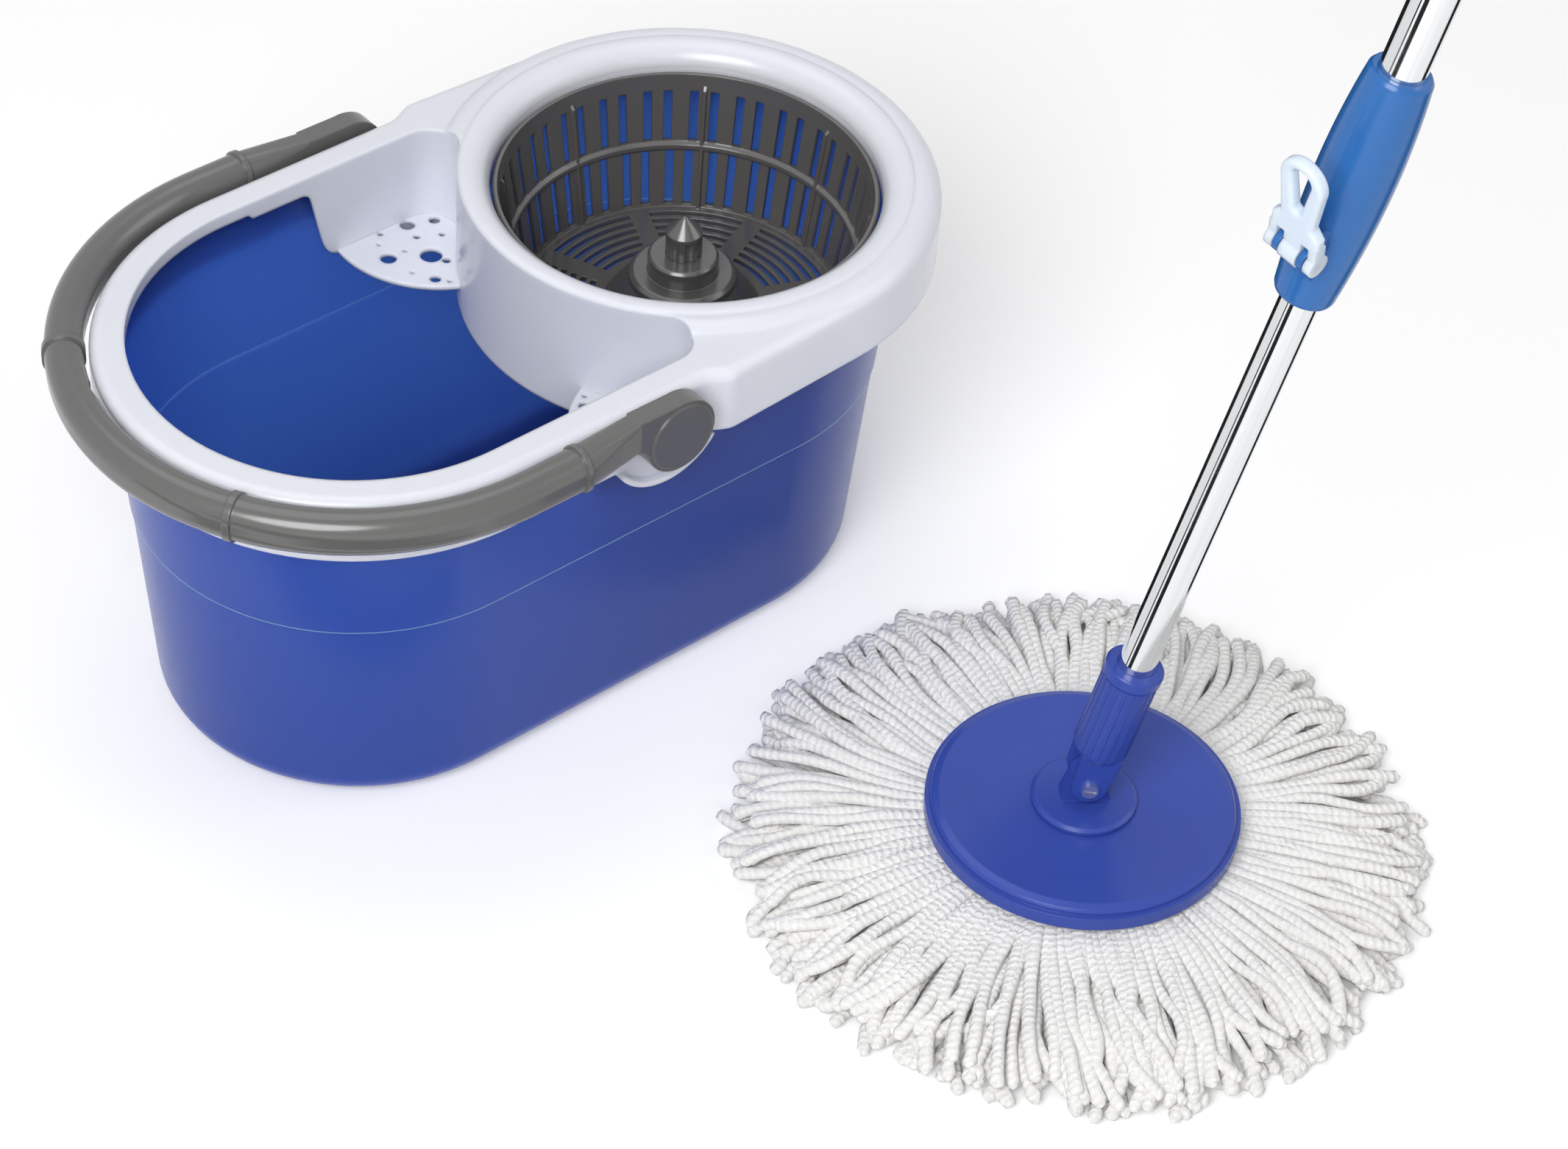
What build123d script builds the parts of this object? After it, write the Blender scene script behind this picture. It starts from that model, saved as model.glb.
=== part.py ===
"""Spin mop set, in millimetres: an oval bucket with a spinning basket, and a press-to-spin mop beside it.

The origin is the middle of the bucket's base on the floor, +Z is up. The spinning basket stands toward +X
and the open well toward -X. The mop stands on the floor on the -Y side with its pole leaning.
"""

import os
from math import asin, cos, hypot, pi, radians, sin, tan

from build123d import *

os.makedirs("parts", exist_ok=True)

# Tub
END_X = 97.5  # the oval's end circles stand at plus and minus this
BASE_R = 105.5  # end radius at the floor
DRAFT = 4.4  # outward slope of the wall, degrees
WALL = 2.6
FLOOR_T = 3.0
BASE_ROUND = 16.0
STEP_Z = 126.0  # height of the shallow step round the wall
STEP_OUT = 0.8

# Deck
BASKET_X = 112.0  # basket axis
OPENING_R = 102.0  # collar opening
OPENING_Z = 218.0
CROWN_R = 117.0  # crease between the collar roll and the shoulder
CROWN_Z = 227.5
DECK_R = 132.5  # outer radius round the basket
SHOULDER_Z = 216.0
DECK_T = 2.6
RIM_R = 130.0  # outer half width along the well
RIM_Z = 223.0
RIM_ROUND = 6.0
SKIRT_Z = 187.0  # lower edge along the well
LOW_SKIRT_Z = 184.0  # lower edge round the basket
WELL_R = 112.5  # half width of the open well
WELL_CORNER = 16.0
APRON_R = 119.0  # apron wall in front of the basket
APRON_Z = 150.0
BAND_Z = 212.0  # lower edge of the band round the well
BORE_T = 2.0  # short wall down from the collar opening
BORE_DEEP = 14.0
SHELF_Z = 168.0  # strainer shelves
SHELF_T = 2.5
SHELF_R = 60.0

# Handle
PIVOT_X = -6.0
PIVOT_Z = 206.0
PIN_R = 5.0
PAD_R = 20.5
DIP_R = 35.5  # the skirt dips round under each pad
ARM_Y = 142.0  # centre line of the bail, beside the deck
BAIL_Z = 217.0  # height of the bail, lying round the rim
BAIL_W = 19.0
BAIL_H = 23.0
BAIL_ROUND = 9.0
GRIP_ANGLE = 31.0  # the grip's end beads stand this far from the middle

# Basket
BASKET_TOP_Z = 216.0
BASKET_TOP_R = 98.0  # inner radius under the rim
BASKET_FLOOR_R = 86.0
BASKET_FLOOR_Z = 136.0
BASKET_T = 2.2
PAIRS = 24  # slot pairs in each tier
PAIR_HALF = 3.3  # degrees from a pair's middle to each slot
SLOT_W = 4.6
RIBS = 8
SPOKES = 8
HUB_TOP_Z = 172.0
SPIKE_TOP_Z = 196.0
SPIKE_R = 9.7
SPINDLE_R = 4.0
RUNNING = 0.06  # radial play of turning fits
RIM_PLAY = 1.6  # between the basket's rim and the collar
RIM_DEEP = 6.0
TIER_Z = 173.0  # ring rib between the two tiers of slots
SLOTS_TOP_Z = 206.0
FLOOR_RINGS = 6  # ring slots in the basket floor
FLOOR_RING_R = 50.0
FLOOR_RING_STEP = 6.0
FLOOR_SLOT_W = 3.2
NECK_R = 24.0  # hub where it passes through the basket floor
PILLAR_TOP = 128.0
SPINDLE_LOW = 60.0
SPINDLE_TOP = 162.0
WASHER_T = 1.5
BUSH_R = 7.0

# Mop
MOP_X = 110.0
MOP_Y = -332.0
LEAN = 12.0  # pole from the upright, degrees
LEAN_TO = -36.0  # heading of the lean in plan, degrees from +X
HINGE_Z = 54.0
PLATE_R = 80.0
PLATE_TOP = 38.0
LUG_T = 11.0
SCREW_R = 3.0  # hinge screw
RING_TOP = 30.0  # top of the sewn ring's carrier, under the plate
RING_LOW = 24.0
RING_IN = 56.0
RING_OUT = 76.0
STRING_R = 178.0  # reach of the strings from the middle
SECTORS = 8
STRANDS = 13  # strands to a layer in each sector
LAYERS = 3
LOWER_R = 9.5
UPPER_R = 11.0
TUBE_T = 1.0
TUBE_LOW = 30.0  # distances along the pole are from the hinge pin
SOCKET_TOP = 78.0
SLEEVE_LOW = 318.0
SLEEVE_TOP = 443.0
LOWER_TOP = 460.0
UPPER_LOW = 340.0
UPPER_TOP = 1115.0
SCREW_LOW = 436.0
SCREW_TOP = 668.0
SCREW_W = 12.0
SCREW_T = 2.6
SCREW_PITCH = 100.0  # travel for one turn of the head
GUIDE_PLAY = 0.35
SLEEVE_R = 18.6  # belly of the lock sleeve
SLEEVE_END_R = 14.8
CLIP_OPEN = 22.0  # the clip stands this far off the sleeve, degrees
CLIP_TURN = 40.0  # and this far round the pole from the lean, degrees
CLIP_R = 25.0  # clip pin from the pole's axis
CLIP_UP = 34.0  # clip pin above the sleeve's lower end
CLIP_PIN_R = 2.0
CLIP_T = 6.5
CLIP_PLAY = 0.6
CLAMP_W = 4.4  # arms of the clip outside the lugs
BRIDGE_LOW = 9.5  # the arms join this far above the pin
LOOP_R = 12.5
LOOP_UP = 48.0
LOOP_ROD = 6.8
CAM_R = 6.6
LUG_IN = 5.6  # inner faces of the sleeve's lugs
LUG_W = 3.4
LUG_R = 6.0

# Values that follow from the sizes above
SLOPE = tan(radians(DRAFT))
LIP_Z = RIM_Z - DECK_T
STEP_R = BASE_R + STEP_Z * SLOPE
WELL_X = -END_X
HEADING = radians(LEAN_TO)
TILT = radians(LEAN)
PIN = Vector(MOP_X, MOP_Y, HINGE_Z)
POLE_DIR = Vector(sin(TILT) * cos(HEADING), sin(TILT) * sin(HEADING), cos(TILT))
LEAN_DIR = Vector(cos(TILT) * cos(HEADING), cos(TILT) * sin(HEADING), -sin(TILT))
HINGE_DIR = Vector(-sin(HEADING), cos(HEADING), 0)
POLE = Plane(origin=PIN, x_dir=LEAN_DIR, z_dir=POLE_DIR)
SIDE = Plane(origin=PIN, x_dir=LEAN_DIR, z_dir=-HINGE_DIR)
CLASP_X = LEAN_DIR * cos(radians(CLIP_TURN)) + HINGE_DIR * sin(radians(CLIP_TURN))
CLASP_Z = CLASP_X.cross(POLE_DIR)
CLASP = Plane(origin=PIN, x_dir=CLASP_X, z_dir=CLASP_Z)
POLE_AXIS = Axis(PIN, POLE_DIR)
BASKET_AXIS = Axis((BASKET_X, 0, 0), (0, 0, 1))
BASKET_SIDE = Plane(origin=(BASKET_X, 0, 0), x_dir=(1, 0, 0), z_dir=(0, -1, 0))
MOP_AXIS = Axis((MOP_X, MOP_Y, 0), (0, 0, 1))
MOP_SIDE = Plane(origin=(MOP_X, MOP_Y, 0), x_dir=(cos(HEADING), sin(HEADING), 0), z_dir=-HINGE_DIR)


def save(piece, name):
    """Label a finished piece and write it under its own name."""
    piece.part.label = name
    export_step(piece.part, f"parts/{name}.step")


def turned(side, axis, points):
    """Turn a closed profile of (radius, height) points about an axis."""
    with BuildPart() as solid:
        with BuildSketch(side):
            with BuildLine():
                Polyline(points, close=True)
            make_face()
        revolve(axis=axis)
    return solid


def oval(half_width):
    """Draw the tub's oval with the given half width."""
    return SlotCenterToCenter(2 * END_X, 2 * half_width)


# Tub: drafted oval shell, stepped once round the wall, rounded at the base
with BuildPart() as tub_inside:
    with BuildSketch(Plane.XY.offset(FLOOR_T)):
        oval(BASE_R + FLOOR_T * SLOPE - WALL)
    extrude(amount=STEP_Z - FLOOR_T, taper=-DRAFT)
    fillet(tub_inside.faces().sort_by(Axis.Z)[0].edges(), BASE_ROUND - WALL)
    with BuildSketch(Plane.XY.offset(STEP_Z)):
        oval(STEP_R + STEP_OUT - WALL)
    extrude(amount=LIP_Z - STEP_Z + 1, taper=-DRAFT)

with BuildPart() as tub:
    with BuildSketch(Plane.XY):
        oval(BASE_R)
    extrude(amount=STEP_Z, taper=-DRAFT)
    fillet(tub.faces().sort_by(Axis.Z)[0].edges(), BASE_ROUND)
    with BuildSketch(Plane.XY.offset(STEP_Z)):
        oval(STEP_R + STEP_OUT)
    extrude(amount=LIP_Z - STEP_Z, taper=-DRAFT)
    add(tub_inside.part, mode=Mode.SUBTRACT)
save(tub, "tub")


# Deck outlines in plan: the narrow rim along the well, widening past the handle pads to the round end
LIP_X = PIVOT_X + PAD_R + 4
LIP_RUN = 13.0
LIP_ROUND = 12.0
LIP_Y = DECK_R + 4  # the flank stands out beside the pads
# The flanks run from the lips to where they meet the round end squarely
FLANK_RUN = hypot(BASKET_X - LIP_X - LIP_RUN, LIP_Y)
FLANK_TURN = asin(DECK_R / FLANK_RUN) - asin(LIP_Y / FLANK_RUN)
FLANK_X = BASKET_X + DECK_R * sin(-FLANK_TURN)
FLANK_Y = DECK_R * cos(FLANK_TURN)


def deck_outline():
    """Draw the deck's outer outline in plan."""
    with BuildSketch() as outline:
        with Locations(((BASKET_X + WELL_X) / 2, 0)):
            SlotCenterToCenter(BASKET_X - WELL_X, 2 * RIM_R)
        with Locations((BASKET_X, 0)):
            Circle(DECK_R)
        with BuildLine():
            Polyline((LIP_X, -RIM_R), (LIP_X + LIP_RUN, -LIP_Y), (FLANK_X, -FLANK_Y), (FLANK_X, FLANK_Y),
                     (LIP_X + LIP_RUN, LIP_Y), (LIP_X, RIM_R), close=True)
        make_face()
        fillet(outline.vertices().filter_by(lambda v: abs(v.X - LIP_X - LIP_RUN / 2) < LIP_RUN), LIP_ROUND)
    return outline.sketch


def well_outline():
    """Draw the open well in plan: oval at one end, cut round by the apron, with rounded corners."""
    with BuildSketch() as well:
        with Locations(((BASKET_X + WELL_X) / 2, 0)):
            SlotCenterToCenter(BASKET_X - WELL_X, 2 * WELL_R)
        with Locations((BASKET_X, 0)):
            Circle(APRON_R, mode=Mode.SUBTRACT)
        with Locations((BASKET_X, 0)):
            Rectangle(500, 500, align=(Align.MAX, Align.CENTER), mode=Mode.INTERSECT)
        fillet(well.vertices().filter_by(lambda v: v.X > 0), WELL_CORNER)
    return well.sketch


OUTLINE = deck_outline()
WELL = well_outline()
DEEP_Z = APRON_Z - 10

# Points on the collar's section: the roll at the opening and the shoulder outside the crown
ROLL_R = OPENING_R + (CROWN_R - OPENING_R) / 3
ROLL_Z = CROWN_Z - (CROWN_Z - OPENING_Z) / 5
SHOULDER_R = CROWN_R + (DECK_R - CROWN_R) * 0.72
UNDER_Z = OPENING_Z - DECK_T - 0.8

# The deck's outer shape as a full block, and the hollow under it
with BuildPart() as envelope:
    with BuildSketch(Plane.XY.offset(DEEP_Z)):
        add(OUTLINE)
    extrude(amount=RIM_Z - DEEP_Z)
    fillet(envelope.faces().sort_by(Axis.Z)[-1].edges(), RIM_ROUND)
    with Locations((BASKET_X, 0, OPENING_Z - RIM_ROUND)):
        Cylinder(SHOULDER_R, RIM_Z, align=(Align.CENTER, Align.CENTER, Align.MIN), mode=Mode.SUBTRACT)
    with BuildSketch(BASKET_SIDE):
        with BuildLine():
            roll = ThreePointArc((OPENING_R, OPENING_Z), (ROLL_R, ROLL_Z), (CROWN_R, CROWN_Z))
            brow = Line(roll @ 1, (CROWN_R + 1, CROWN_Z - 0.9))
            ThreePointArc(brow @ 1, (SHOULDER_R, CROWN_Z - 3.0), (DECK_R, SHOULDER_Z))
            Polyline((DECK_R, SHOULDER_Z), (DECK_R, DEEP_Z), (0, DEEP_Z), (0, OPENING_Z), roll @ 0)
        make_face()
    revolve(axis=BASKET_AXIS)

with BuildPart() as hollow:
    with BuildSketch(Plane.XY.offset(DEEP_Z - 1)):
        add(offset(OUTLINE, amount=-DECK_T, mode=Mode.PRIVATE))
    extrude(amount=LIP_Z - DEEP_Z + 1)
    fillet(hollow.faces().sort_by(Axis.Z)[-1].edges(), RIM_ROUND - DECK_T)
    with Locations((BASKET_X, 0, UNDER_Z - RIM_ROUND)):
        Cylinder(SHOULDER_R, RIM_Z, align=(Align.CENTER, Align.CENTER, Align.MIN), mode=Mode.SUBTRACT)
    with BuildSketch(BASKET_SIDE):
        with BuildLine():
            under = ThreePointArc((OPENING_R, UNDER_Z), (ROLL_R + 0.6, ROLL_Z - DECK_T),
                                  (CROWN_R, CROWN_Z - 1 - DECK_T))
            ThreePointArc(under @ 1, (SHOULDER_R - 1.6, CROWN_Z - 2.6 - DECK_T),
                          (DECK_R - DECK_T, SHOULDER_Z - 0.6))
            Polyline((DECK_R - DECK_T, SHOULDER_Z - 0.6), (DECK_R - DECK_T, DEEP_Z - 1), (0, DEEP_Z - 1),
                     (0, UNDER_Z), under @ 0)
        make_face()
    revolve(axis=BASKET_AXIS)

# Walls round the well: a narrow band, deep beside the shelves, and the apron in front of the basket
with BuildPart() as well_wall:
    with BuildSketch(Plane.XY.offset(APRON_Z)):
        add(offset(WELL, amount=DECK_T - 0.2, mode=Mode.PRIVATE))
        add(WELL, mode=Mode.SUBTRACT)
    extrude(amount=90)
    add(envelope.part, mode=Mode.INTERSECT)
    with BuildSketch(Plane.XZ):
        with BuildLine():
            fall = Spline((-52, BAND_Z), (-44, BAND_Z - 9), (-38, SHELF_Z + 8), (-28, SHELF_Z - SHELF_T),
                          tangents=((1, 0), (1, -0.15)))
            Polyline(fall @ 1, (-14, SHELF_Z - SHELF_T), (-14, 100), (-260, 100), (-260, BAND_Z + 3),
                     (-84, BAND_Z + 3), (-81, BAND_Z), fall @ 0)
        make_face()
    extrude(amount=200, both=True, mode=Mode.SUBTRACT)

# Strainer shelves in the two corners beside the apron, with round holes of many sizes
SHELF_X = 30.0
SHELF_Y = 105.0
BUBBLES = ((7, 80, 11.9), (-12.5, 91, 8.9), (12, 108, 8.2), (26, 103, 6.2), (-2.7, 63, 6.2), (11, 72, 4.9),
           (10, 97, 3.8), (22, 91, 3.5), (-4, 110, 3.4), (2, 57, 2.6), (-2, 91, 2.4), (-10, 103, 2.2),
           (-9.5, 74, 2.2))
with BuildPart() as shelves:
    with BuildSketch(Plane.XY.offset(SHELF_Z - SHELF_T)):
        with Locations((SHELF_X, SHELF_Y), (SHELF_X, -SHELF_Y)):
            Circle(SHELF_R)
        add(offset(WELL, amount=1.0, mode=Mode.PRIVATE), mode=Mode.INTERSECT)
        for hole_x, hole_y, hole_d in BUBBLES:
            with Locations((hole_x, hole_y), (hole_x, -hole_y)):
                Circle(hole_d / 2, mode=Mode.SUBTRACT)
    extrude(amount=SHELF_T)

with BuildPart() as deck:
    add(envelope.part)
    add(hollow.part, mode=Mode.SUBTRACT)
    with BuildSketch(Plane.XY.offset(DEEP_Z - 1)):
        add(WELL)
    extrude(amount=120, mode=Mode.SUBTRACT)
    with Locations((BASKET_X, 0, DEEP_Z - 1)):
        Cylinder(OPENING_R, 120, align=(Align.CENTER, Align.CENTER, Align.MIN), mode=Mode.SUBTRACT)
    with Locations((0, 0, SKIRT_Z)):
        Box(600, 400, 60, align=(Align.CENTER, Align.CENTER, Align.MAX), mode=Mode.SUBTRACT)
    with Locations((LIP_X - 2, 0, LOW_SKIRT_Z)):
        Box(400, 400, 60, align=(Align.MIN, Align.CENTER, Align.MAX), mode=Mode.SUBTRACT)
    with BuildSketch(Plane.XY.offset(OPENING_Z - BORE_DEEP)):
        with Locations((BASKET_X, 0)):
            Circle(OPENING_R + BORE_T)
            Circle(OPENING_R, mode=Mode.SUBTRACT)
    extrude(amount=BORE_DEEP - 1)
    add(well_wall.part)
    add(shelves.part)
    # Pockets for the handle pads: the skirt dips under each pad, with a raised ledge round the low side
    for side in (-1, 1):
        inside = side * (RIM_R - DECK_T)
        with BuildSketch(Plane(origin=(0, inside, 0), x_dir=(1, 0, 0), z_dir=(0, side, 0))):
            with Locations((PIVOT_X, side * -PIVOT_Z)):
                Circle(DIP_R)
            with Locations((0, side * -(SKIRT_Z + 2))):
                Rectangle(300, 100, align=(Align.CENTER, Align.MAX if side > 0 else Align.MIN),
                          mode=Mode.SUBTRACT)
        extrude(amount=DECK_T)
        with BuildSketch(Plane(origin=(0, inside, 0), x_dir=(1, 0, 0), z_dir=(0, side, 0))):
            with Locations((PIVOT_X, side * -PIVOT_Z)):
                Circle(DIP_R)
                Circle(DIP_R - 3, mode=Mode.SUBTRACT)
            with Locations((PIVOT_X, side * -(PIVOT_Z - 20))):
                Rectangle(300, 100, align=(Align.CENTER, Align.MAX if side > 0 else Align.MIN),
                          mode=Mode.SUBTRACT)
        extrude(amount=DECK_T + 4)
        with Locations(Plane(origin=(PIVOT_X, inside - side, PIVOT_Z), z_dir=(0, side, 0))):
            Cylinder(PIN_R, DECK_T + 6, align=(Align.CENTER, Align.CENTER, Align.MIN), mode=Mode.SUBTRACT)
save(deck, "deck")

# Pillar on the tub floor, with the steel spindle that carries the basket
pillar = turned(BASKET_SIDE, BASKET_AXIS, [
    (SPINDLE_R, SPINDLE_LOW), (SPINDLE_R, PILLAR_TOP), (11, PILLAR_TOP), (13, PILLAR_TOP - 2), (16, 30),
    (34, FLOOR_T + 4), (34, FLOOR_T), (0, FLOOR_T), (0, SPINDLE_LOW)])
save(pillar, "pillar")
spindle = turned(BASKET_SIDE, BASKET_AXIS, [
    (0, SPINDLE_LOW), (SPINDLE_R, SPINDLE_LOW), (SPINDLE_R, SPINDLE_TOP - 2), (SPINDLE_R - 1, SPINDLE_TOP),
    (0, SPINDLE_TOP)])
save(spindle, "spindle")
thrust_washer = turned(BASKET_SIDE, BASKET_AXIS, [
    (SPINDLE_R, PILLAR_TOP), (9.5, PILLAR_TOP), (9.5, PILLAR_TOP + WASHER_T),
    (SPINDLE_R, PILLAR_TOP + WASHER_T)])
save(thrust_washer, "thrust_washer")

# Two equal pivot pins, flanged behind the skirt
PIN_END = ARM_Y - 3
with BuildPart() as handle_pins:
    for side in (-1, 1):
        with BuildSketch(Plane(origin=(PIVOT_X, side * (RIM_R - DECK_T - 2.5), PIVOT_Z), z_dir=(0, side, 0))):
            Circle(8)
        extrude(amount=2.5)
        with BuildSketch(Plane(origin=(PIVOT_X, side * (RIM_R - DECK_T), PIVOT_Z), z_dir=(0, side, 0))):
            Circle(PIN_R)
        extrude(amount=PIN_END - RIM_R + DECK_T)
save(handle_pins, "handle_pins")

# Carry handle: a bail lying round the rim, flat arms and round pads at the pivots
ARM_T = 11.0
ARM_H = 19.0
ARM_IN = ARM_Y - BAIL_W / 2
ARM_X = PIVOT_X - PAD_R - 5  # the flat arm begins
BAIL_END = ARM_X - 36  # the round bail ends and flattens toward the arm
PAD_STEP = 1.2
BEAD = 1.2
WAVE_R = 15.0
WAVE_DEEP = 2.6
WAVE_STEP = 10.4
with BuildPart() as carry_handle:
    with BuildLine() as bail_path:
        near = Line((BAIL_END, -ARM_Y, BAIL_Z), (WELL_X, -ARM_Y, BAIL_Z))
        bend = ThreePointArc(near @ 1, (WELL_X - ARM_Y, 0, BAIL_Z), (WELL_X, ARM_Y, BAIL_Z))
        Line(bend @ 1, (BAIL_END, ARM_Y, BAIL_Z))
    with BuildSketch(Plane(origin=(BAIL_END, -ARM_Y, BAIL_Z), x_dir=(0, 1, 0), z_dir=(-1, 0, 0))):
        RectangleRounded(BAIL_W, BAIL_H, BAIL_ROUND)
    sweep()
    for side in (-1, 1):
        arm_mid = side * (ARM_IN + ARM_T / 2)
        with BuildSketch(Plane(origin=(BAIL_END, side * ARM_Y, BAIL_Z), x_dir=(0, 1, 0), z_dir=(1, 0, 0))):
            RectangleRounded(BAIL_W, BAIL_H, BAIL_ROUND)
        with BuildSketch(Plane(origin=(ARM_X, arm_mid, BAIL_Z), x_dir=(0, 1, 0), z_dir=(1, 0, 0))):
            RectangleRounded(ARM_T, ARM_H, 2)
        loft()
        with BuildSketch(Plane(origin=(0, side * ARM_IN, 0), x_dir=(1, 0, 0), z_dir=(0, side, 0))):
            with Locations((PIVOT_X, side * -PIVOT_Z)):
                Circle(PAD_R)
            with BuildLine():
                Polyline((ARM_X - 1, side * -(BAIL_Z - ARM_H / 2)), (ARM_X + 1, side * -(BAIL_Z - ARM_H / 2)),
                         (PIVOT_X - PAD_R + 3, side * -(PIVOT_Z - 5)), (PIVOT_X, side * -(PIVOT_Z - 8)),
                         (PIVOT_X, side * -(PIVOT_Z + PAD_R - 0.2)),
                         (ARM_X - 1, side * -(BAIL_Z + ARM_H / 2)), close=True)
            make_face()
        extrude(amount=ARM_T)
        with BuildSketch(Plane(origin=(PIVOT_X, side * (ARM_IN + ARM_T), PIVOT_Z), z_dir=(0, side, 0))):
            Circle(PAD_R - 2)
        extrude(amount=PAD_STEP)
    # Beads across the bail at the grip's ends and where the arms begin
    for angle in (180 - GRIP_ANGLE, 180 + GRIP_ANGLE):
        turn = radians(angle)
        out = Vector(cos(turn), sin(turn), 0)
        across = Vector(-sin(turn), cos(turn), 0)
        middle = Vector(WELL_X, 0, BAIL_Z) + out * ARM_Y
        with BuildSketch(Plane(origin=middle - across * 2, x_dir=out, z_dir=across)):
            RectangleRounded(BAIL_W + 2 * BEAD, BAIL_H + 2 * BEAD, BAIL_ROUND + BEAD)
        extrude(amount=4)
    for side in (-1, 1):
        cuff = (BAIL_END - 3, side * ARM_Y, BAIL_Z)
        with BuildSketch(Plane(origin=cuff, x_dir=(0, 1, 0), z_dir=(1, 0, 0))):
            RectangleRounded(BAIL_W + 2 * BEAD, BAIL_H + 2 * BEAD, BAIL_ROUND + BEAD)
        extrude(amount=3)
    # Finger waves along the grip's inner side, which is its underside when the handle is up
    for step in (-1.5, -0.5, 0.5, 1.5):
        turn = radians(180 + step * WAVE_STEP)
        reach = ARM_IN + WAVE_DEEP - WAVE_R
        with Locations((WELL_X + reach * cos(turn), reach * sin(turn), BAIL_Z)):
            Cylinder(WAVE_R, BAIL_H + 4, mode=Mode.SUBTRACT)
    # Blind bores for the pivot pins
    for side in (-1, 1):
        with Locations(Plane(origin=(PIVOT_X, side * ARM_IN, PIVOT_Z), z_dir=(0, side, 0))):
            Cylinder(PIN_R + RUNNING, PIN_END - ARM_IN + 0.4, align=(Align.CENTER, Align.CENTER, Align.MIN),
                     mode=Mode.SUBTRACT)
save(carry_handle, "carry_handle")

# Basket: tapered bowl with two tiers of paired slots, a ring rib between them and a slotted floor
TAPER = (BASKET_TOP_R - BASKET_FLOOR_R) / (BASKET_TOP_Z - BASKET_FLOOR_Z)


def bowl_radius(height):
    """Inner radius of the basket wall at a height."""
    return BASKET_FLOOR_R + (height - BASKET_FLOOR_Z) * TAPER


BASKET_RIM_R = OPENING_R - RIM_PLAY
BASKET_RIM_Z = BASKET_TOP_Z - RIM_DEEP
basket_shell = turned(BASKET_SIDE, BASKET_AXIS, [
    (NECK_R, BASKET_FLOOR_Z - 3), (BASKET_FLOOR_R + BASKET_T, BASKET_FLOOR_Z - 3),
    (bowl_radius(BASKET_RIM_Z) + BASKET_T, BASKET_RIM_Z), (BASKET_RIM_R, BASKET_RIM_Z),
    (BASKET_RIM_R, BASKET_TOP_Z - 1), (BASKET_RIM_R - 0.8, BASKET_TOP_Z), (BASKET_TOP_R, BASKET_TOP_Z),
    (bowl_radius(TIER_Z + 3), TIER_Z + 3),
    (bowl_radius(TIER_Z) - 1.6, TIER_Z + 1.4), (bowl_radius(TIER_Z) - 1.6, TIER_Z - 1),
    (bowl_radius(TIER_Z - 3), TIER_Z - 3), (BASKET_FLOOR_R, BASKET_FLOOR_Z), (NECK_R, BASKET_FLOOR_Z)])
UPPER_LOW_Z = TIER_Z + 3
LOWER_LOW_Z = BASKET_FLOOR_Z + 1.5
LOWER_TOP_Z = TIER_Z - 3
UPPER_MID_Z = (UPPER_LOW_Z + SLOTS_TOP_Z) / 2
LOWER_MID_Z = (LOWER_LOW_Z + LOWER_TOP_Z) / 2
PITCH = 360.0 / PAIRS
with BuildPart() as basket:
    add(basket_shell.part)
    for offset_angle in (-PAIR_HALF, PAIR_HALF):
        with Locations((BASKET_X, 0, UPPER_MID_Z)):
            with PolarLocations(bowl_radius(UPPER_MID_Z), PAIRS, start_angle=offset_angle):
                Box(16, SLOT_W, SLOTS_TOP_Z - UPPER_LOW_Z, mode=Mode.SUBTRACT)
        with Locations((BASKET_X, 0, LOWER_MID_Z)):
            with PolarLocations(bowl_radius(LOWER_MID_Z), PAIRS, start_angle=offset_angle + PITCH / 2):
                Box(16, SLOT_W, LOWER_TOP_Z - LOWER_LOW_Z, mode=Mode.SUBTRACT)
    with BuildSketch(Plane.XY.offset(BASKET_FLOOR_Z - 4)):
        with Locations((BASKET_X, 0)):
            for ring in reversed(range(FLOOR_RINGS)):
                ring_r = FLOOR_RING_R + ring * FLOOR_RING_STEP
                Circle(ring_r + FLOOR_SLOT_W / 2)
                Circle(ring_r - FLOOR_SLOT_W / 2, mode=Mode.SUBTRACT)
            with PolarLocations(0, SPOKES, start_angle=22.5):
                Rectangle(90, 11, align=(Align.MIN, Align.CENTER), mode=Mode.SUBTRACT)
    extrude(amount=6, mode=Mode.SUBTRACT)
    # Upright ribs inside the wall, following its slope
    for rib in range(RIBS):
        turn = 2 * pi * rib / RIBS
        out = Vector(cos(turn), sin(turn), 0)
        across = Vector(-sin(turn), cos(turn), 0)
        with BuildSketch(Plane(origin=Vector(BASKET_X, 0, 0) - across * 0.9, x_dir=out, z_dir=-across)):
            with BuildLine():
                Polyline((bowl_radius(BASKET_FLOOR_Z) + 0.6, BASKET_FLOOR_Z - 0.6),
                         (bowl_radius(BASKET_RIM_Z) + 0.6, BASKET_RIM_Z),
                         (bowl_radius(BASKET_RIM_Z - 2) - 1.8, BASKET_RIM_Z - 3),
                         (bowl_radius(BASKET_FLOOR_Z) - 1.8, BASKET_FLOOR_Z - 0.6), close=True)
            make_face()
        extrude(amount=-1.8)
save(basket, "basket")

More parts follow.
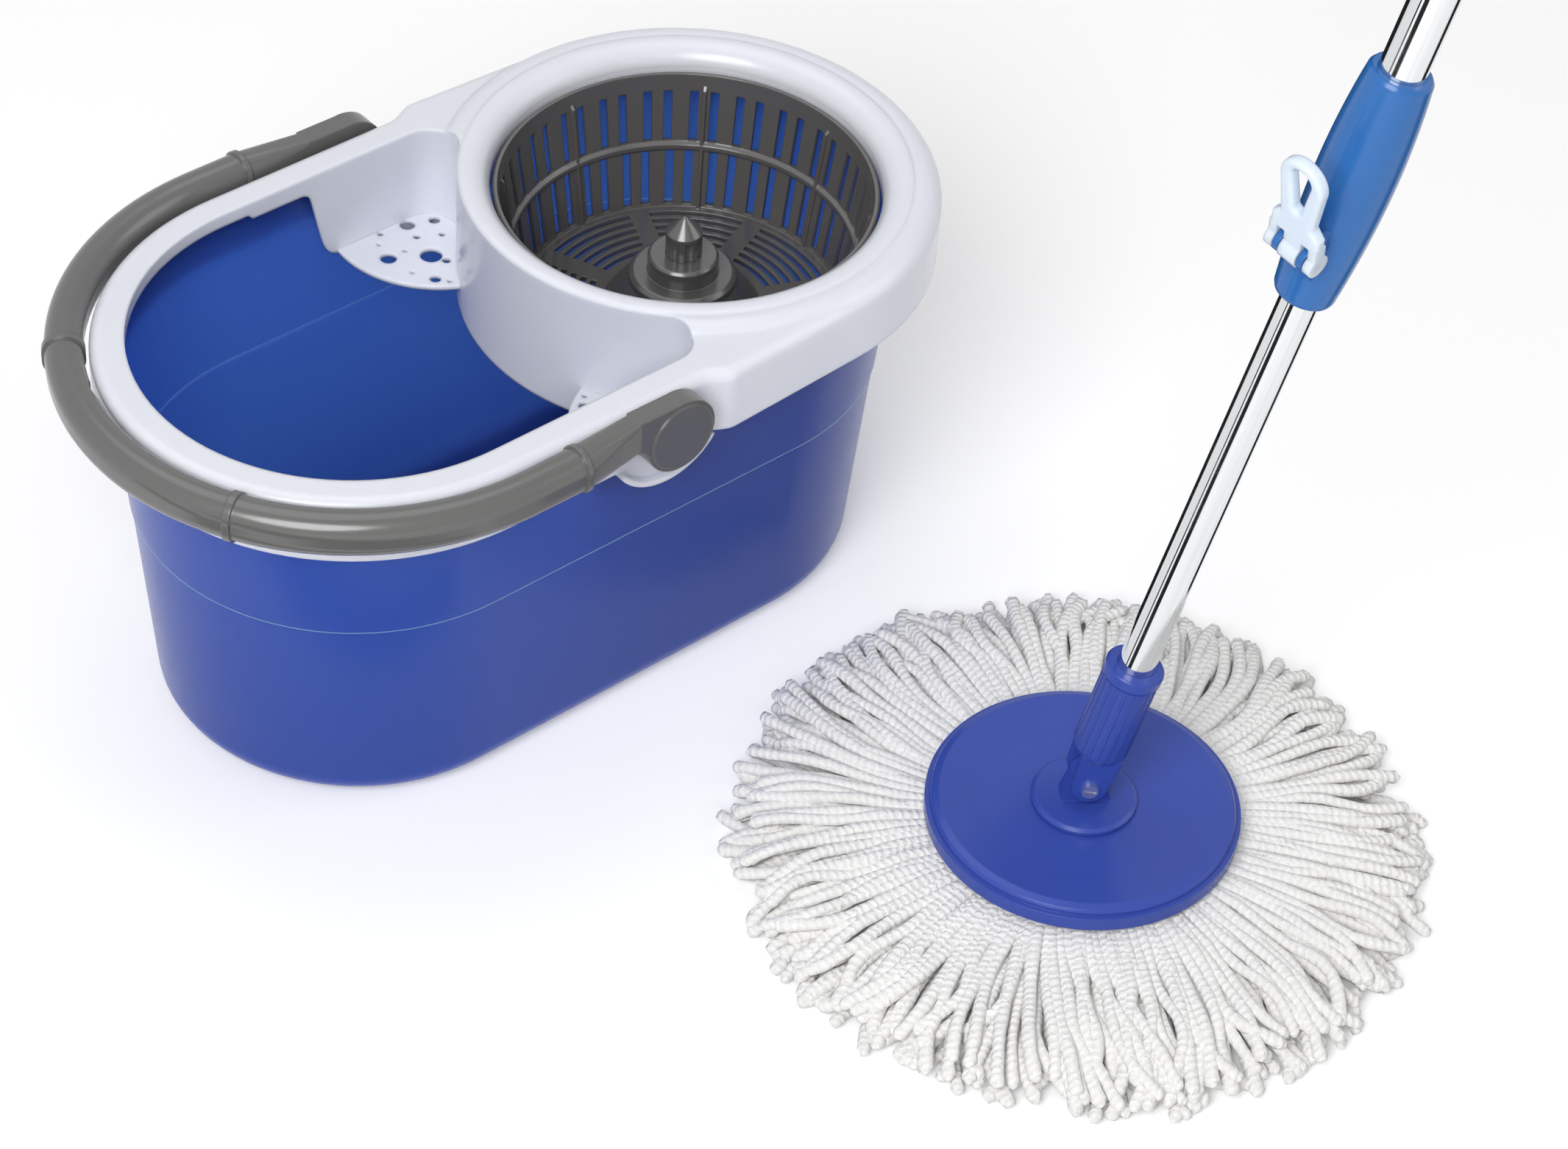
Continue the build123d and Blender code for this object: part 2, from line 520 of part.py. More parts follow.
# Hub in the basket floor, its bush and the fluted spike
BUSH_CAP_Z = SPINDLE_TOP + 1
BUSH_TOP_Z = BUSH_CAP_Z + 3
HUB_LOW = PILLAR_TOP + WASHER_T + 0.3
basket_hub = turned(BASKET_SIDE, BASKET_AXIS, [
    (BUSH_R, HUB_LOW), (NECK_R, HUB_LOW), (NECK_R, BASKET_FLOOR_Z), (42, BASKET_FLOOR_Z),
    (42, BASKET_FLOOR_Z + 1.5), (29, BASKET_FLOOR_Z + 20), (28.5, BASKET_FLOOR_Z + 23),
    (26, BASKET_FLOOR_Z + 25), (18.8, BASKET_FLOOR_Z + 25),
    (18.8, HUB_TOP_Z - 1.5), (17.3, HUB_TOP_Z), (0, HUB_TOP_Z), (0, BUSH_TOP_Z), (BUSH_R, BUSH_TOP_Z)])
save(basket_hub, "basket_hub")
BORE_R = SPINDLE_R + RUNNING
hub_bush = turned(BASKET_SIDE, BASKET_AXIS, [
    (BORE_R, HUB_LOW), (BUSH_R, HUB_LOW), (BUSH_R, BUSH_TOP_Z), (0, BUSH_TOP_Z), (0, BUSH_CAP_Z),
    (BORE_R, BUSH_CAP_Z)])
save(hub_bush, "hub_bush")
with BuildPart() as drive_spike:
    with BuildSketch(Plane.XY.offset(HUB_TOP_Z)):
        with Locations((BASKET_X, 0)):
            Circle(SPIKE_R)
            with PolarLocations(SPIKE_R + 1.2, 8, start_angle=22.5):
                Circle(2.6, mode=Mode.SUBTRACT)
    extrude(amount=14)
    with BuildSketch(BASKET_SIDE):
        with BuildLine():
            Polyline((0, HUB_TOP_Z + 12), (SPIKE_R, HUB_TOP_Z + 12), (SPIKE_R, HUB_TOP_Z + 14.5),
                     (1.2, SPIKE_TOP_Z - 0.6), (0, SPIKE_TOP_Z), close=True)
        make_face()
    revolve(axis=BASKET_AXIS)
save(drive_spike, "drive_spike")

# Mop head, flat on the floor: hinge base with its lug, plate, string ring
HEAD = Plane(origin=(MOP_X, MOP_Y, 0), x_dir=(cos(HEADING), sin(HEADING), 0), z_dir=(0, 0, 1))
BASE_Z = PLATE_TOP - 1.5
hinge_disc = turned(MOP_SIDE, MOP_AXIS, [
    (0, BASE_Z), (27, BASE_Z), (27, BASE_Z + 2.5), (25, BASE_Z + 4), (0, BASE_Z + 4)])
with BuildPart() as hinge_base:
    add(hinge_disc.part)
    with BuildSketch(MOP_SIDE):
        with Locations((0, HINGE_Z)):
            Circle(8.5)
        with BuildLine():
            Polyline((-13, BASE_Z + 3), (13, BASE_Z + 3), (8.5, HINGE_Z), (-8.5, HINGE_Z), close=True)
        make_face()
        with Locations((0, HINGE_Z)):
            Circle(SCREW_R + RUNNING, mode=Mode.SUBTRACT)
    extrude(amount=LUG_T / 2, both=True)
save(hinge_base, "hinge_base")

GROOVE_IN = RING_IN - 2
GROOVE_OUT = RING_OUT + 1
mop_plate = turned(MOP_SIDE, MOP_AXIS, [
    (0, BASE_Z - 4), (0, BASE_Z), (52, BASE_Z), (68, PLATE_TOP - 0.4), (73, PLATE_TOP),
    (76.5, PLATE_TOP - 1.2), (77.5, PLATE_TOP - 2.6), (77.5, PLATE_TOP - 4.5), (PLATE_R, PLATE_TOP - 4.5),
    (PLATE_R, PLATE_TOP - 12),
    (GROOVE_OUT, PLATE_TOP - 12), (GROOVE_OUT, RING_TOP), (GROOVE_IN, RING_TOP), (GROOVE_IN, BASE_Z - 4),
    (17, BASE_Z - 4), (17, 19), (13, 19), (13, BASE_Z - 4)])
save(mop_plate, "mop_plate")
string_ring = turned(MOP_SIDE, MOP_AXIS, [
    (RING_IN, RING_LOW), (RING_OUT, RING_LOW), (RING_OUT, RING_TOP - 1), (RING_OUT - 1, RING_TOP),
    (RING_IN + 1, RING_TOP), (RING_IN, RING_TOP - 1)])
save(string_ring, "string_ring")

# Strings: eight sectors, each a slice of the sewn ring with three layers of square-cut strands fanning out
SEWN_IN = RING_IN + 2
SEWN_OUT = SEWN_IN + 9
ROOT_R = SEWN_OUT - 1
STRING_TOP = RING_LOW


def strand_section(angle, spread, reach, height, wide, thick):
    """Corner loop of one strand section, square to the strand's own direction in plan."""
    root = Vector(cos(angle), sin(angle), 0) * ROOT_R
    along = Vector(cos(angle + spread), sin(angle + spread), 0)
    across = Vector(-along.Y, along.X, 0)
    middle = Vector(MOP_X, MOP_Y, height) + root + along * reach
    up = Vector(0, 0, thick / 2)
    side_step = across * (wide / 2)
    corners = [middle - side_step - up, middle + side_step - up, middle + side_step + up,
               middle - side_step + up]
    return Wire.make_polygon(corners, close=True)


def strand(angle, layer, index):
    """One strand from the sewn ring to its tip; the lowest layer lies on the floor."""
    wave = sin(index * 2.4 + layer * 1.7)
    spread = radians(1.1) * sin(index * 1.3 + layer)
    low = 2.6 + layer * 6.6
    droop = (0.0, 2.2, 4.6)[layer]
    length = STRING_R - ROOT_R - layer * 5 - 5 + 5 * wave
    root_z = 5.0 + layer * 7.2
    sections = [
        strand_section(angle, spread, -3.0, root_z, 2.6, 4.6),
        strand_section(angle, spread, length * 0.3, (root_z + low) / 2 + 0.6 * layer, 3.8, 5.0),
        strand_section(angle, spread, length * 0.72, low, 5.2, 5.2),
        strand_section(angle, spread, length, low - droop * 0.5, 4.4, 4.4 if layer else 5.2),
    ]
    return Solid.make_loft(sections, ruled=True)


SECTOR = 360.0 / SECTORS
for sector in range(SECTORS):
    first = sector * SECTOR
    strands = []
    for layer in range(LAYERS):
        for index in range(STRANDS):
            place = first + SECTOR * (index + 0.5 + 0.16 * (layer - 1)) / STRANDS
            strands.append(strand(radians(place), layer, index + sector * STRANDS))
    with BuildPart() as strings:
        with BuildSketch(HEAD.offset(2)):
            with BuildLine():
                start = radians(first + 0.3) - HEADING
                end = radians(first + SECTOR - 0.3) - HEADING
                half = (start + end) / 2
                turns = (start, half, end)
                inner = ThreePointArc(*[(SEWN_IN * cos(turn), SEWN_IN * sin(turn)) for turn in turns])
                outer = ThreePointArc(*[(SEWN_OUT * cos(turn), SEWN_OUT * sin(turn)) for turn in turns])
                Line(inner @ 0, outer @ 0)
                Line(inner @ 1, outer @ 1)
            make_face()
        extrude(amount=STRING_TOP - 2)
        add(strands)
    save(strings, f"strings_{sector + 1}")

# Pole, measured along its axis from the hinge pin
EAR_IN = LUG_T / 2 + 0.4
EAR_T = 5.0
RIB_COUNT = 20
barrel = turned(SIDE, POLE_AXIS, [
    (0, 19), (12.5, 19), (14, 22), (14, 70), (15, 72), (15, SOCKET_TOP - 1), (14.2, SOCKET_TOP),
    (LOWER_R, SOCKET_TOP), (LOWER_R, TUBE_LOW), (0, TUBE_LOW)])
with BuildPart() as fork_socket:
    add(barrel.part)
    for side in (-1, 1):
        with BuildSketch(SIDE.offset(side * EAR_IN)):
            Circle(9)
            with BuildLine():
                Polyline((-9, 0), (9, 0), (10.5, 21), (-10.5, 21), close=True)
            make_face()
            Circle(SCREW_R, mode=Mode.SUBTRACT)
        extrude(amount=side * EAR_T)
    with Locations(POLE.offset(46)):
        with PolarLocations(13.9, RIB_COUNT):
            Box(1.0, 1.4, 46)
save(fork_socket, "fork_socket")

HEAD_IN = EAR_IN + EAR_T
with BuildPart() as fork_screw:
    with BuildSketch(SIDE):
        Circle(SCREW_R)
    extrude(amount=HEAD_IN, both=True)
    with BuildSketch(SIDE.offset(HEAD_IN)):
        Circle(4.2)
        Rectangle(6, 1.2, mode=Mode.SUBTRACT)
    extrude(amount=2.2)
    with BuildSketch(SIDE.offset(HEAD_IN)):
        Circle(4.2)
    extrude(amount=1.0)
    with BuildSketch(SIDE.offset(-HEAD_IN)):
        RegularPolygon(4.4, 6)
    extrude(amount=-2.4)
save(fork_screw, "fork_screw")

lower_tube = turned(SIDE, POLE_AXIS, [
    (LOWER_R - TUBE_T, TUBE_LOW), (LOWER_R, TUBE_LOW), (LOWER_R, LOWER_TOP), (LOWER_R - TUBE_T, LOWER_TOP)])
save(lower_tube, "lower_tube")

# Twisted strip that turns the lower pole as it is pressed, and the nut that follows it
STRIP_STEP = 15


def twisted(low, top, wide, thick):
    """Strip with a rectangular section that turns once for each pitch of travel."""
    count = int(round((top - low) / SCREW_PITCH * 360 / STRIP_STEP))
    loops = []
    for number in range(count + 1):
        along = low + (top - low) * number / count
        turn = 2 * pi * (along - SCREW_LOW) / SCREW_PITCH
        corners = []
        for dx, dy in ((1, 1), (-1, 1), (-1, -1), (1, -1)):
            px = dx * wide / 2 * cos(turn) - dy * thick / 2 * sin(turn)
            py = dx * wide / 2 * sin(turn) + dy * thick / 2 * cos(turn)
            corners.append(POLE.from_local_coords(Vector(px, py, along)))
        loops.append(Wire.make_polygon(corners, close=True))
    return Solid.make_loft(loops, ruled=True)


NUT_LOW = LOWER_TOP - 14
with BuildPart() as drive_screw:
    add(twisted(SCREW_LOW, SCREW_TOP, SCREW_W, SCREW_T))
save(drive_screw, "drive_screw")
with BuildPart() as drive_nut:
    with BuildSketch(POLE.offset(NUT_LOW)):
        Circle(LOWER_R - TUBE_T)
    extrude(amount=LOWER_TOP - NUT_LOW)
    add(twisted(NUT_LOW - 1, LOWER_TOP + 1, SCREW_W + 0.9, SCREW_T + 0.9), mode=Mode.SUBTRACT)
save(drive_nut, "drive_nut")
slide_bush = turned(SIDE, POLE_AXIS, [
    (7.2, LOWER_TOP + 0.4), (9.7, LOWER_TOP + 0.4), (9.7, LOWER_TOP + 12), (7.2, LOWER_TOP + 12)])
save(slide_bush, "slide_bush")

upper_tube = turned(SIDE, POLE_AXIS, [
    (UPPER_R - TUBE_T, UPPER_LOW), (UPPER_R, UPPER_LOW), (UPPER_R, UPPER_TOP), (UPPER_R - TUBE_T, UPPER_TOP)])
save(upper_tube, "upper_tube")
PLUG_LOW = SCREW_TOP - 10
with BuildPart() as screw_plug:
    with BuildSketch(POLE.offset(PLUG_LOW)):
        Circle(UPPER_R - TUBE_T)
    extrude(amount=22)
    add(drive_screw.part, mode=Mode.SUBTRACT)
save(screw_plug, "screw_plug")

# Lock sleeve: a barrel over both tubes, with two lugs for the clip
GUIDE_R = UPPER_R + 0.4
CLIP_S = SLEEVE_LOW + CLIP_UP
SLEEVE_MID = (SLEEVE_LOW + SLEEVE_TOP) / 2
PIN_IN = LUG_IN + LUG_W + CLIP_PLAY  # inner faces of the clip's arms
CLIP_HALF = PIN_IN + CLAMP_W
BLIND = 1.4  # wall left over the pin in each arm
with BuildPart() as lock_sleeve:
    with BuildSketch(SIDE):
        with BuildLine():
            belly = Spline((SLEEVE_END_R, SLEEVE_LOW + 2), (SLEEVE_R - 1, SLEEVE_MID - 28),
                           (SLEEVE_R, SLEEVE_MID + 6), (SLEEVE_END_R + 0.6, SLEEVE_TOP - 2))
            Polyline(belly @ 1, (SLEEVE_END_R - 0.8, SLEEVE_TOP), (UPPER_R, SLEEVE_TOP), (UPPER_R, UPPER_LOW),
                     (GUIDE_R, UPPER_LOW), (GUIDE_R, SLEEVE_LOW), (SLEEVE_END_R - 0.8, SLEEVE_LOW), belly @ 0)
        make_face()
    revolve(axis=POLE_AXIS)
    for side in (-1, 1):
        with BuildSketch(CLASP.offset(side * LUG_IN)):
            with Locations((-CLIP_R, CLIP_S)):
                Circle(LUG_R)
            with BuildLine():
                Polyline((-CLIP_R, CLIP_S - LUG_R), (2.5 - SLEEVE_R, CLIP_S - 15),
                         (2.5 - SLEEVE_R, CLIP_S + 13), (-CLIP_R, CLIP_S + LUG_R), close=True)
            make_face()
            with Locations((-CLIP_R, CLIP_S)):
                Circle(CLIP_PIN_R, mode=Mode.SUBTRACT)
        extrude(amount=side * LUG_W)
    pocket = CLASP.from_local_coords(Vector(-15, CLIP_S, 0))
    with Locations(Plane(origin=pocket, x_dir=CLASP_X, z_dir=POLE_DIR)):
        Box(12, 8, 14, mode=Mode.SUBTRACT)
save(lock_sleeve, "lock_sleeve")
guide_ring = turned(SIDE, POLE_AXIS, [
    (LOWER_R + GUIDE_PLAY, SLEEVE_LOW + 1), (GUIDE_R, SLEEVE_LOW + 1), (GUIDE_R, UPPER_LOW),
    (LOWER_R + GUIDE_PLAY, UPPER_LOW)])
save(guide_ring, "guide_ring")
with BuildPart() as cam_pad:
    seat = CLASP.from_local_coords(Vector(-13.9, CLIP_S, 0))
    with Locations(Plane(origin=seat, x_dir=CLASP_X, z_dir=POLE_DIR)):
        Box(5.6, 8, 14)
    with BuildSketch(POLE.offset(UPPER_LOW - 5)):
        Circle(UPPER_R)
    extrude(amount=60, mode=Mode.SUBTRACT)
save(cam_pad, "cam_pad")
with BuildPart() as clip_pin:
    with BuildSketch(CLASP.offset(BLIND + 0.2 - CLIP_HALF)):
        with Locations((-CLIP_R, CLIP_S)):
            Circle(CLIP_PIN_R)
    extrude(amount=2 * (CLIP_HALF - BLIND - 0.2))
save(clip_pin, "clip_pin")

# Clip: a cam between the lugs and an arm outside each, joined by a bridge with a finger loop above it
CLIP_W = 2 * (LUG_IN - CLIP_PLAY)
OPEN = radians(CLIP_OPEN)
CLIP_X = CLASP.from_local_coords(Vector(-CLIP_R, CLIP_S, 0))
CLIP = Plane(origin=CLIP_X, x_dir=CLASP_X * cos(OPEN) + POLE_DIR * sin(OPEN), z_dir=CLASP_Z)
LEVER = Plane(origin=CLIP_X, x_dir=CLIP.z_dir, z_dir=-CLIP.x_dir)
EYE_R = LOOP_R - LOOP_ROD
EYE_END_R = 2.4
with BuildPart() as lock_clip:
    with BuildSketch(LEVER.offset(-CLIP_T / 2)):
        with Locations((0, LOOP_UP)):
            Circle(LOOP_R)
        with BuildLine():
            Polyline((-CLIP_HALF, BRIDGE_LOW), (CLIP_HALF, BRIDGE_LOW), (CLIP_HALF, BRIDGE_LOW + 8),
                     (LOOP_R - 3, BRIDGE_LOW + 13), (LOOP_R, LOOP_UP), (-LOOP_R, LOOP_UP),
                     (3 - LOOP_R, BRIDGE_LOW + 13), (-CLIP_HALF, BRIDGE_LOW + 8), close=True)
        make_face()
        with Locations((0, LOOP_UP + 2)):
            Circle(EYE_R, mode=Mode.SUBTRACT)
        with Locations((0, LOOP_UP - 18)):
            Circle(EYE_END_R, mode=Mode.SUBTRACT)
        with BuildLine():
            Polyline((0.1 - EYE_R, LOOP_UP + 1), (EYE_R - 0.1, LOOP_UP + 1),
                     (EYE_END_R - 0.05, LOOP_UP - 17.6), (0.05 - EYE_END_R, LOOP_UP - 17.6), close=True)
        make_face(mode=Mode.SUBTRACT)
    extrude(amount=CLIP_T)
    flats = lock_clip.faces().filter_by(lambda f: abs(f.normal_at().dot(LEVER.z_dir)) > 0.999)
    fillet(flats.edges(), CLIP_T / 3)
    with BuildSketch(CLIP.offset(-CLIP_W / 2)):
        Circle(CAM_R)
        Rectangle(CLIP_T, BRIDGE_LOW + 2, align=(Align.CENTER, Align.MIN))
    extrude(amount=CLIP_W)
    for side in (-1, 1):
        with BuildSketch(CLIP.offset(side * PIN_IN)):
            Circle(LUG_R)
            Rectangle(CLIP_T, BRIDGE_LOW + 3, align=(Align.CENTER, Align.MIN))
        extrude(amount=side * CLAMP_W)
    with BuildSketch(CLIP.offset(BLIND - CLIP_HALF)):
        Circle(CLIP_PIN_R + RUNNING)
    extrude(amount=2 * (CLIP_HALF - BLIND), mode=Mode.SUBTRACT)
save(lock_clip, "lock_clip")

# End cap with a hanging hole
CAP_LOW = UPPER_TOP - 32
cap_body = turned(SIDE, POLE_AXIS, [
    (UPPER_R, CAP_LOW), (12.4, CAP_LOW), (12.8, CAP_LOW + 2), (12.8, UPPER_TOP), (11.5, UPPER_TOP + 4),
    (9, UPPER_TOP + 7), (0, UPPER_TOP + 7), (0, UPPER_TOP), (UPPER_R, UPPER_TOP)])
HANG_S = UPPER_TOP + 17
with BuildPart() as end_cap:
    add(cap_body.part)
    with BuildSketch(SIDE):
        with Locations((0, HANG_S)):
            Circle(9.5)
        with Locations((0, UPPER_TOP + 11)):
            Rectangle(19, 12)
        with Locations((0, HANG_S)):
            Circle(4.5, mode=Mode.SUBTRACT)
    extrude(amount=4.5, both=True)
save(end_cap, "end_cap")
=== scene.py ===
"""Spin mop set: moulded finishes, bright tubes, loose yarn and a plain studio around the frame."""

import logging
import math
import random
from dataclasses import dataclass
from enum import Enum
from typing import Sequence, Union

import bpy
import numpy as np
from mathutils import Matrix, Vector

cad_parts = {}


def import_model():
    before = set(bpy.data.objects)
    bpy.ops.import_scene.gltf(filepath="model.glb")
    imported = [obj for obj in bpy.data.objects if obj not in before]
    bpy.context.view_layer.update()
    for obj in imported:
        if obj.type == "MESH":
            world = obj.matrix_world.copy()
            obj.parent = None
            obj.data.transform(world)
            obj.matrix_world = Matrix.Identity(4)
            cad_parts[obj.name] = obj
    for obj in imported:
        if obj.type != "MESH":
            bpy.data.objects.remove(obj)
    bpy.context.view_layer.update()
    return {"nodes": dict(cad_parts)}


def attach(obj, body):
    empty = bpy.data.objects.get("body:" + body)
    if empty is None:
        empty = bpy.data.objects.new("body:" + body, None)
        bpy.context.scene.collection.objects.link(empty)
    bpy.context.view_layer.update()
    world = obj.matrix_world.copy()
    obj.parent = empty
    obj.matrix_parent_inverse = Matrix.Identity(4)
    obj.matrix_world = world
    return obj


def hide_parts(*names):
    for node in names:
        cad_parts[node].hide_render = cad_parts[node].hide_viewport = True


LOG = logging.getLogger("spin_mop")
LEAN = 12.0  # lean of the pole, in degrees
LEAN_TO = -36.0  # heading of that lean, in degrees

Rgb = tuple[float, float, float]
Rgba = tuple[float, float, float, float]
Range = tuple[float, float]
Tree = bpy.types.NodeTree
Node = bpy.types.Node
Socket = bpy.types.NodeSocket
Goal = Union[float, bpy.types.NodeSocket]
Strand = tuple[list, list, list, list]

WHITE: Rgba = (1.0, 1.0, 1.0, 1.0)


class Kind(Enum):
    """Types of a group's sockets."""

    COLOR = "NodeSocketColor"
    VALUE = "NodeSocketFloat"
    VECTOR = "NodeSocketVector"


class Sum(Enum):
    """Operations of a Math node."""

    ADD = "ADD"
    SUBTRACT = "SUBTRACT"
    MULTIPLY = "MULTIPLY"
    MAXIMUM = "MAXIMUM"
    SINE = "SINE"


class Tone(Enum):
    """Cards that only mirrors see, painting dark and bright reflections: finish, grey of the
    surface and strength of its own light.
    """

    # DARK paints dark reflections; WHITE glows though it is no lamp and paints bright ones.
    DARK = ("flag_dark", 0.02, 0.0)
    WHITE = ("card_white", 0.0, 0.95)


def linear(red: int, green: int, blue: int) -> Rgba:
    """Turn a screen colour into the linear colour that a shader takes.

    Args:
        red: Red, 0 to 255.
        green: Green, 0 to 255.
        blue: Blue, 0 to 255.

    Returns:
        The colour with an alpha of 1.
    """
    knee, slope, offset, power = 0.04045, 12.92, 0.055, 2.4  # the screen's standard curve
    parts = []
    for value in (red, green, blue):
        share = value / 255.0
        curve = ((share + offset) / (1.0 + offset)) ** power
        parts.append(share / slope if share <= knee else curve)
    return (parts[0], parts[1], parts[2], 1.0)


def deselect() -> None:
    """Leave object mode with nothing selected."""
    if bpy.context.object is not None and bpy.context.object.mode != "OBJECT":
        bpy.ops.object.mode_set(mode="OBJECT")
    bpy.ops.object.select_all(action="DESELECT")


def feed(tree: Tree, goal: Goal, socket: Socket) -> None:
    """Set a socket to a number, or link another socket to it.

    Args:
        tree: Tree that holds the socket.
        goal: Number or socket.
        socket: Socket that takes it.
    """
    if isinstance(goal, (int, float)):
        socket.default_value = goal
    else:
        tree.links.new(goal, socket)


def set_sockets(node: Node, values: dict[str, object]) -> None:
    """Set a node's inputs to constants.

    Args:
        node: The node.
        values: Constants by the input's name.
    """
    for label, value in values.items():
        node.inputs[label].default_value = value


def noise(tree: Tree, vector: Socket, scale: Goal, detail: float, rough: float = 0.5) -> Socket:
    """Add a noise texture.

    Args:
        tree: Tree that takes it.
        vector: Socket with the coordinates.
        scale: Number, or a socket, for the scale.
        detail: Octaves.
        rough: Weight of the finer octaves.

    Returns:
        Socket with the noise.
    """
    node = tree.nodes.new("ShaderNodeTexNoise")
    set_sockets(node, {"Detail": detail, "Roughness": rough})
    tree.links.new(vector, node.inputs["Vector"])
    feed(tree, scale, node.inputs["Scale"])
    return node.outputs["Fac"]


def span(tree: Tree, value: Socket, given: Range, low: Goal, high: Goal) -> Socket:
    """Map a value from one range to another.

    Args:
        tree: Tree that takes the node.
        value: Socket with the value.
        given: Incoming range.
        low: Number or socket for the start of the outgoing range.
        high: Number or socket for its end.

    Returns:
        The result socket.
    """
    node = tree.nodes.new("ShaderNodeMapRange")
    set_sockets(node, {"From Min": given[0], "From Max": given[1]})
    tree.links.new(value, node.inputs["Value"])
    feed(tree, low, node.inputs["To Min"])
    feed(tree, high, node.inputs["To Max"])
    return node.outputs["Result"]


def join(tree: Tree, operation: Sum, first: Goal, second: Goal = 0.0) -> Socket:
    """Join two values.

    Args:
        tree: Tree that takes the node.
        operation: What to do with them.
        first: Number or socket.
        second: Number or socket.

    Returns:
        The result socket.
    """
    node = tree.nodes.new("ShaderNodeMath")
    node.operation = operation.value
    feed(tree, first, node.inputs[0])
    feed(tree, second, node.inputs[1])
    return node.outputs["Value"]


def shade(tree: Tree, color: Socket, amount: Socket) -> Socket:
    """Multiply a colour by a grey amount.

    Args:
        tree: Tree that takes the node.
        color: Colour socket.
        amount: Value socket.

    Returns:
        The shaded colour socket.
    """
    node = tree.nodes.new("ShaderNodeVectorMath")
    node.operation = "SCALE"
    tree.links.new(color, node.inputs[0])
    tree.links.new(amount, node.inputs["Scale"])
    return node.outputs["Vector"]


def bump(tree: Tree, height: Socket, strength: float, depth: float) -> Node:
    """Add a bump.

    Args:
        tree: Tree that takes the node.
        height: Height socket.
        strength: Strength of the bump.
        depth: Depth of the relief, in metres.

    Returns:
        The node.
    """
    node = tree.nodes.new("ShaderNodeBump")
    set_sockets(node, {"Strength": strength, "Distance": depth})
    tree.links.new(height, node.inputs["Height"])
    return node


def place_group(tree: Tree, group: Tree, values: dict[str, object]) -> Node:
    """Place a shared effect in a material.

    Args:
        tree: Tree that takes it.
        group: The effect.
        values: The effect's inputs by name.

    Returns:
        The group's node.
    """
    node = tree.nodes.new("ShaderNodeGroup")
    node.node_tree = group
    set_sockets(node, values)
    return node


def start_material(name: str) -> tuple[bpy.types.Material, Tree, Node]:
    """Start a material.

    Args:
        name: Name of the material.

    Returns:
        The material, its tree and its shader.
    """
    material = bpy.data.materials.new(name)
    material.use_nodes = True
    tree = material.node_tree
    return material, tree, tree.nodes["Principled BSDF"]


def link_object(name: str, data: bpy.types.ID) -> bpy.types.Object:
    """Put new data into the scene.

    Args:
        name: Name of the object.
        data: Mesh, light or camera.

    Returns:
        The object.
    """
    thing = bpy.data.objects.new(name, data)
    bpy.context.scene.collection.objects.link(thing)
    return thing


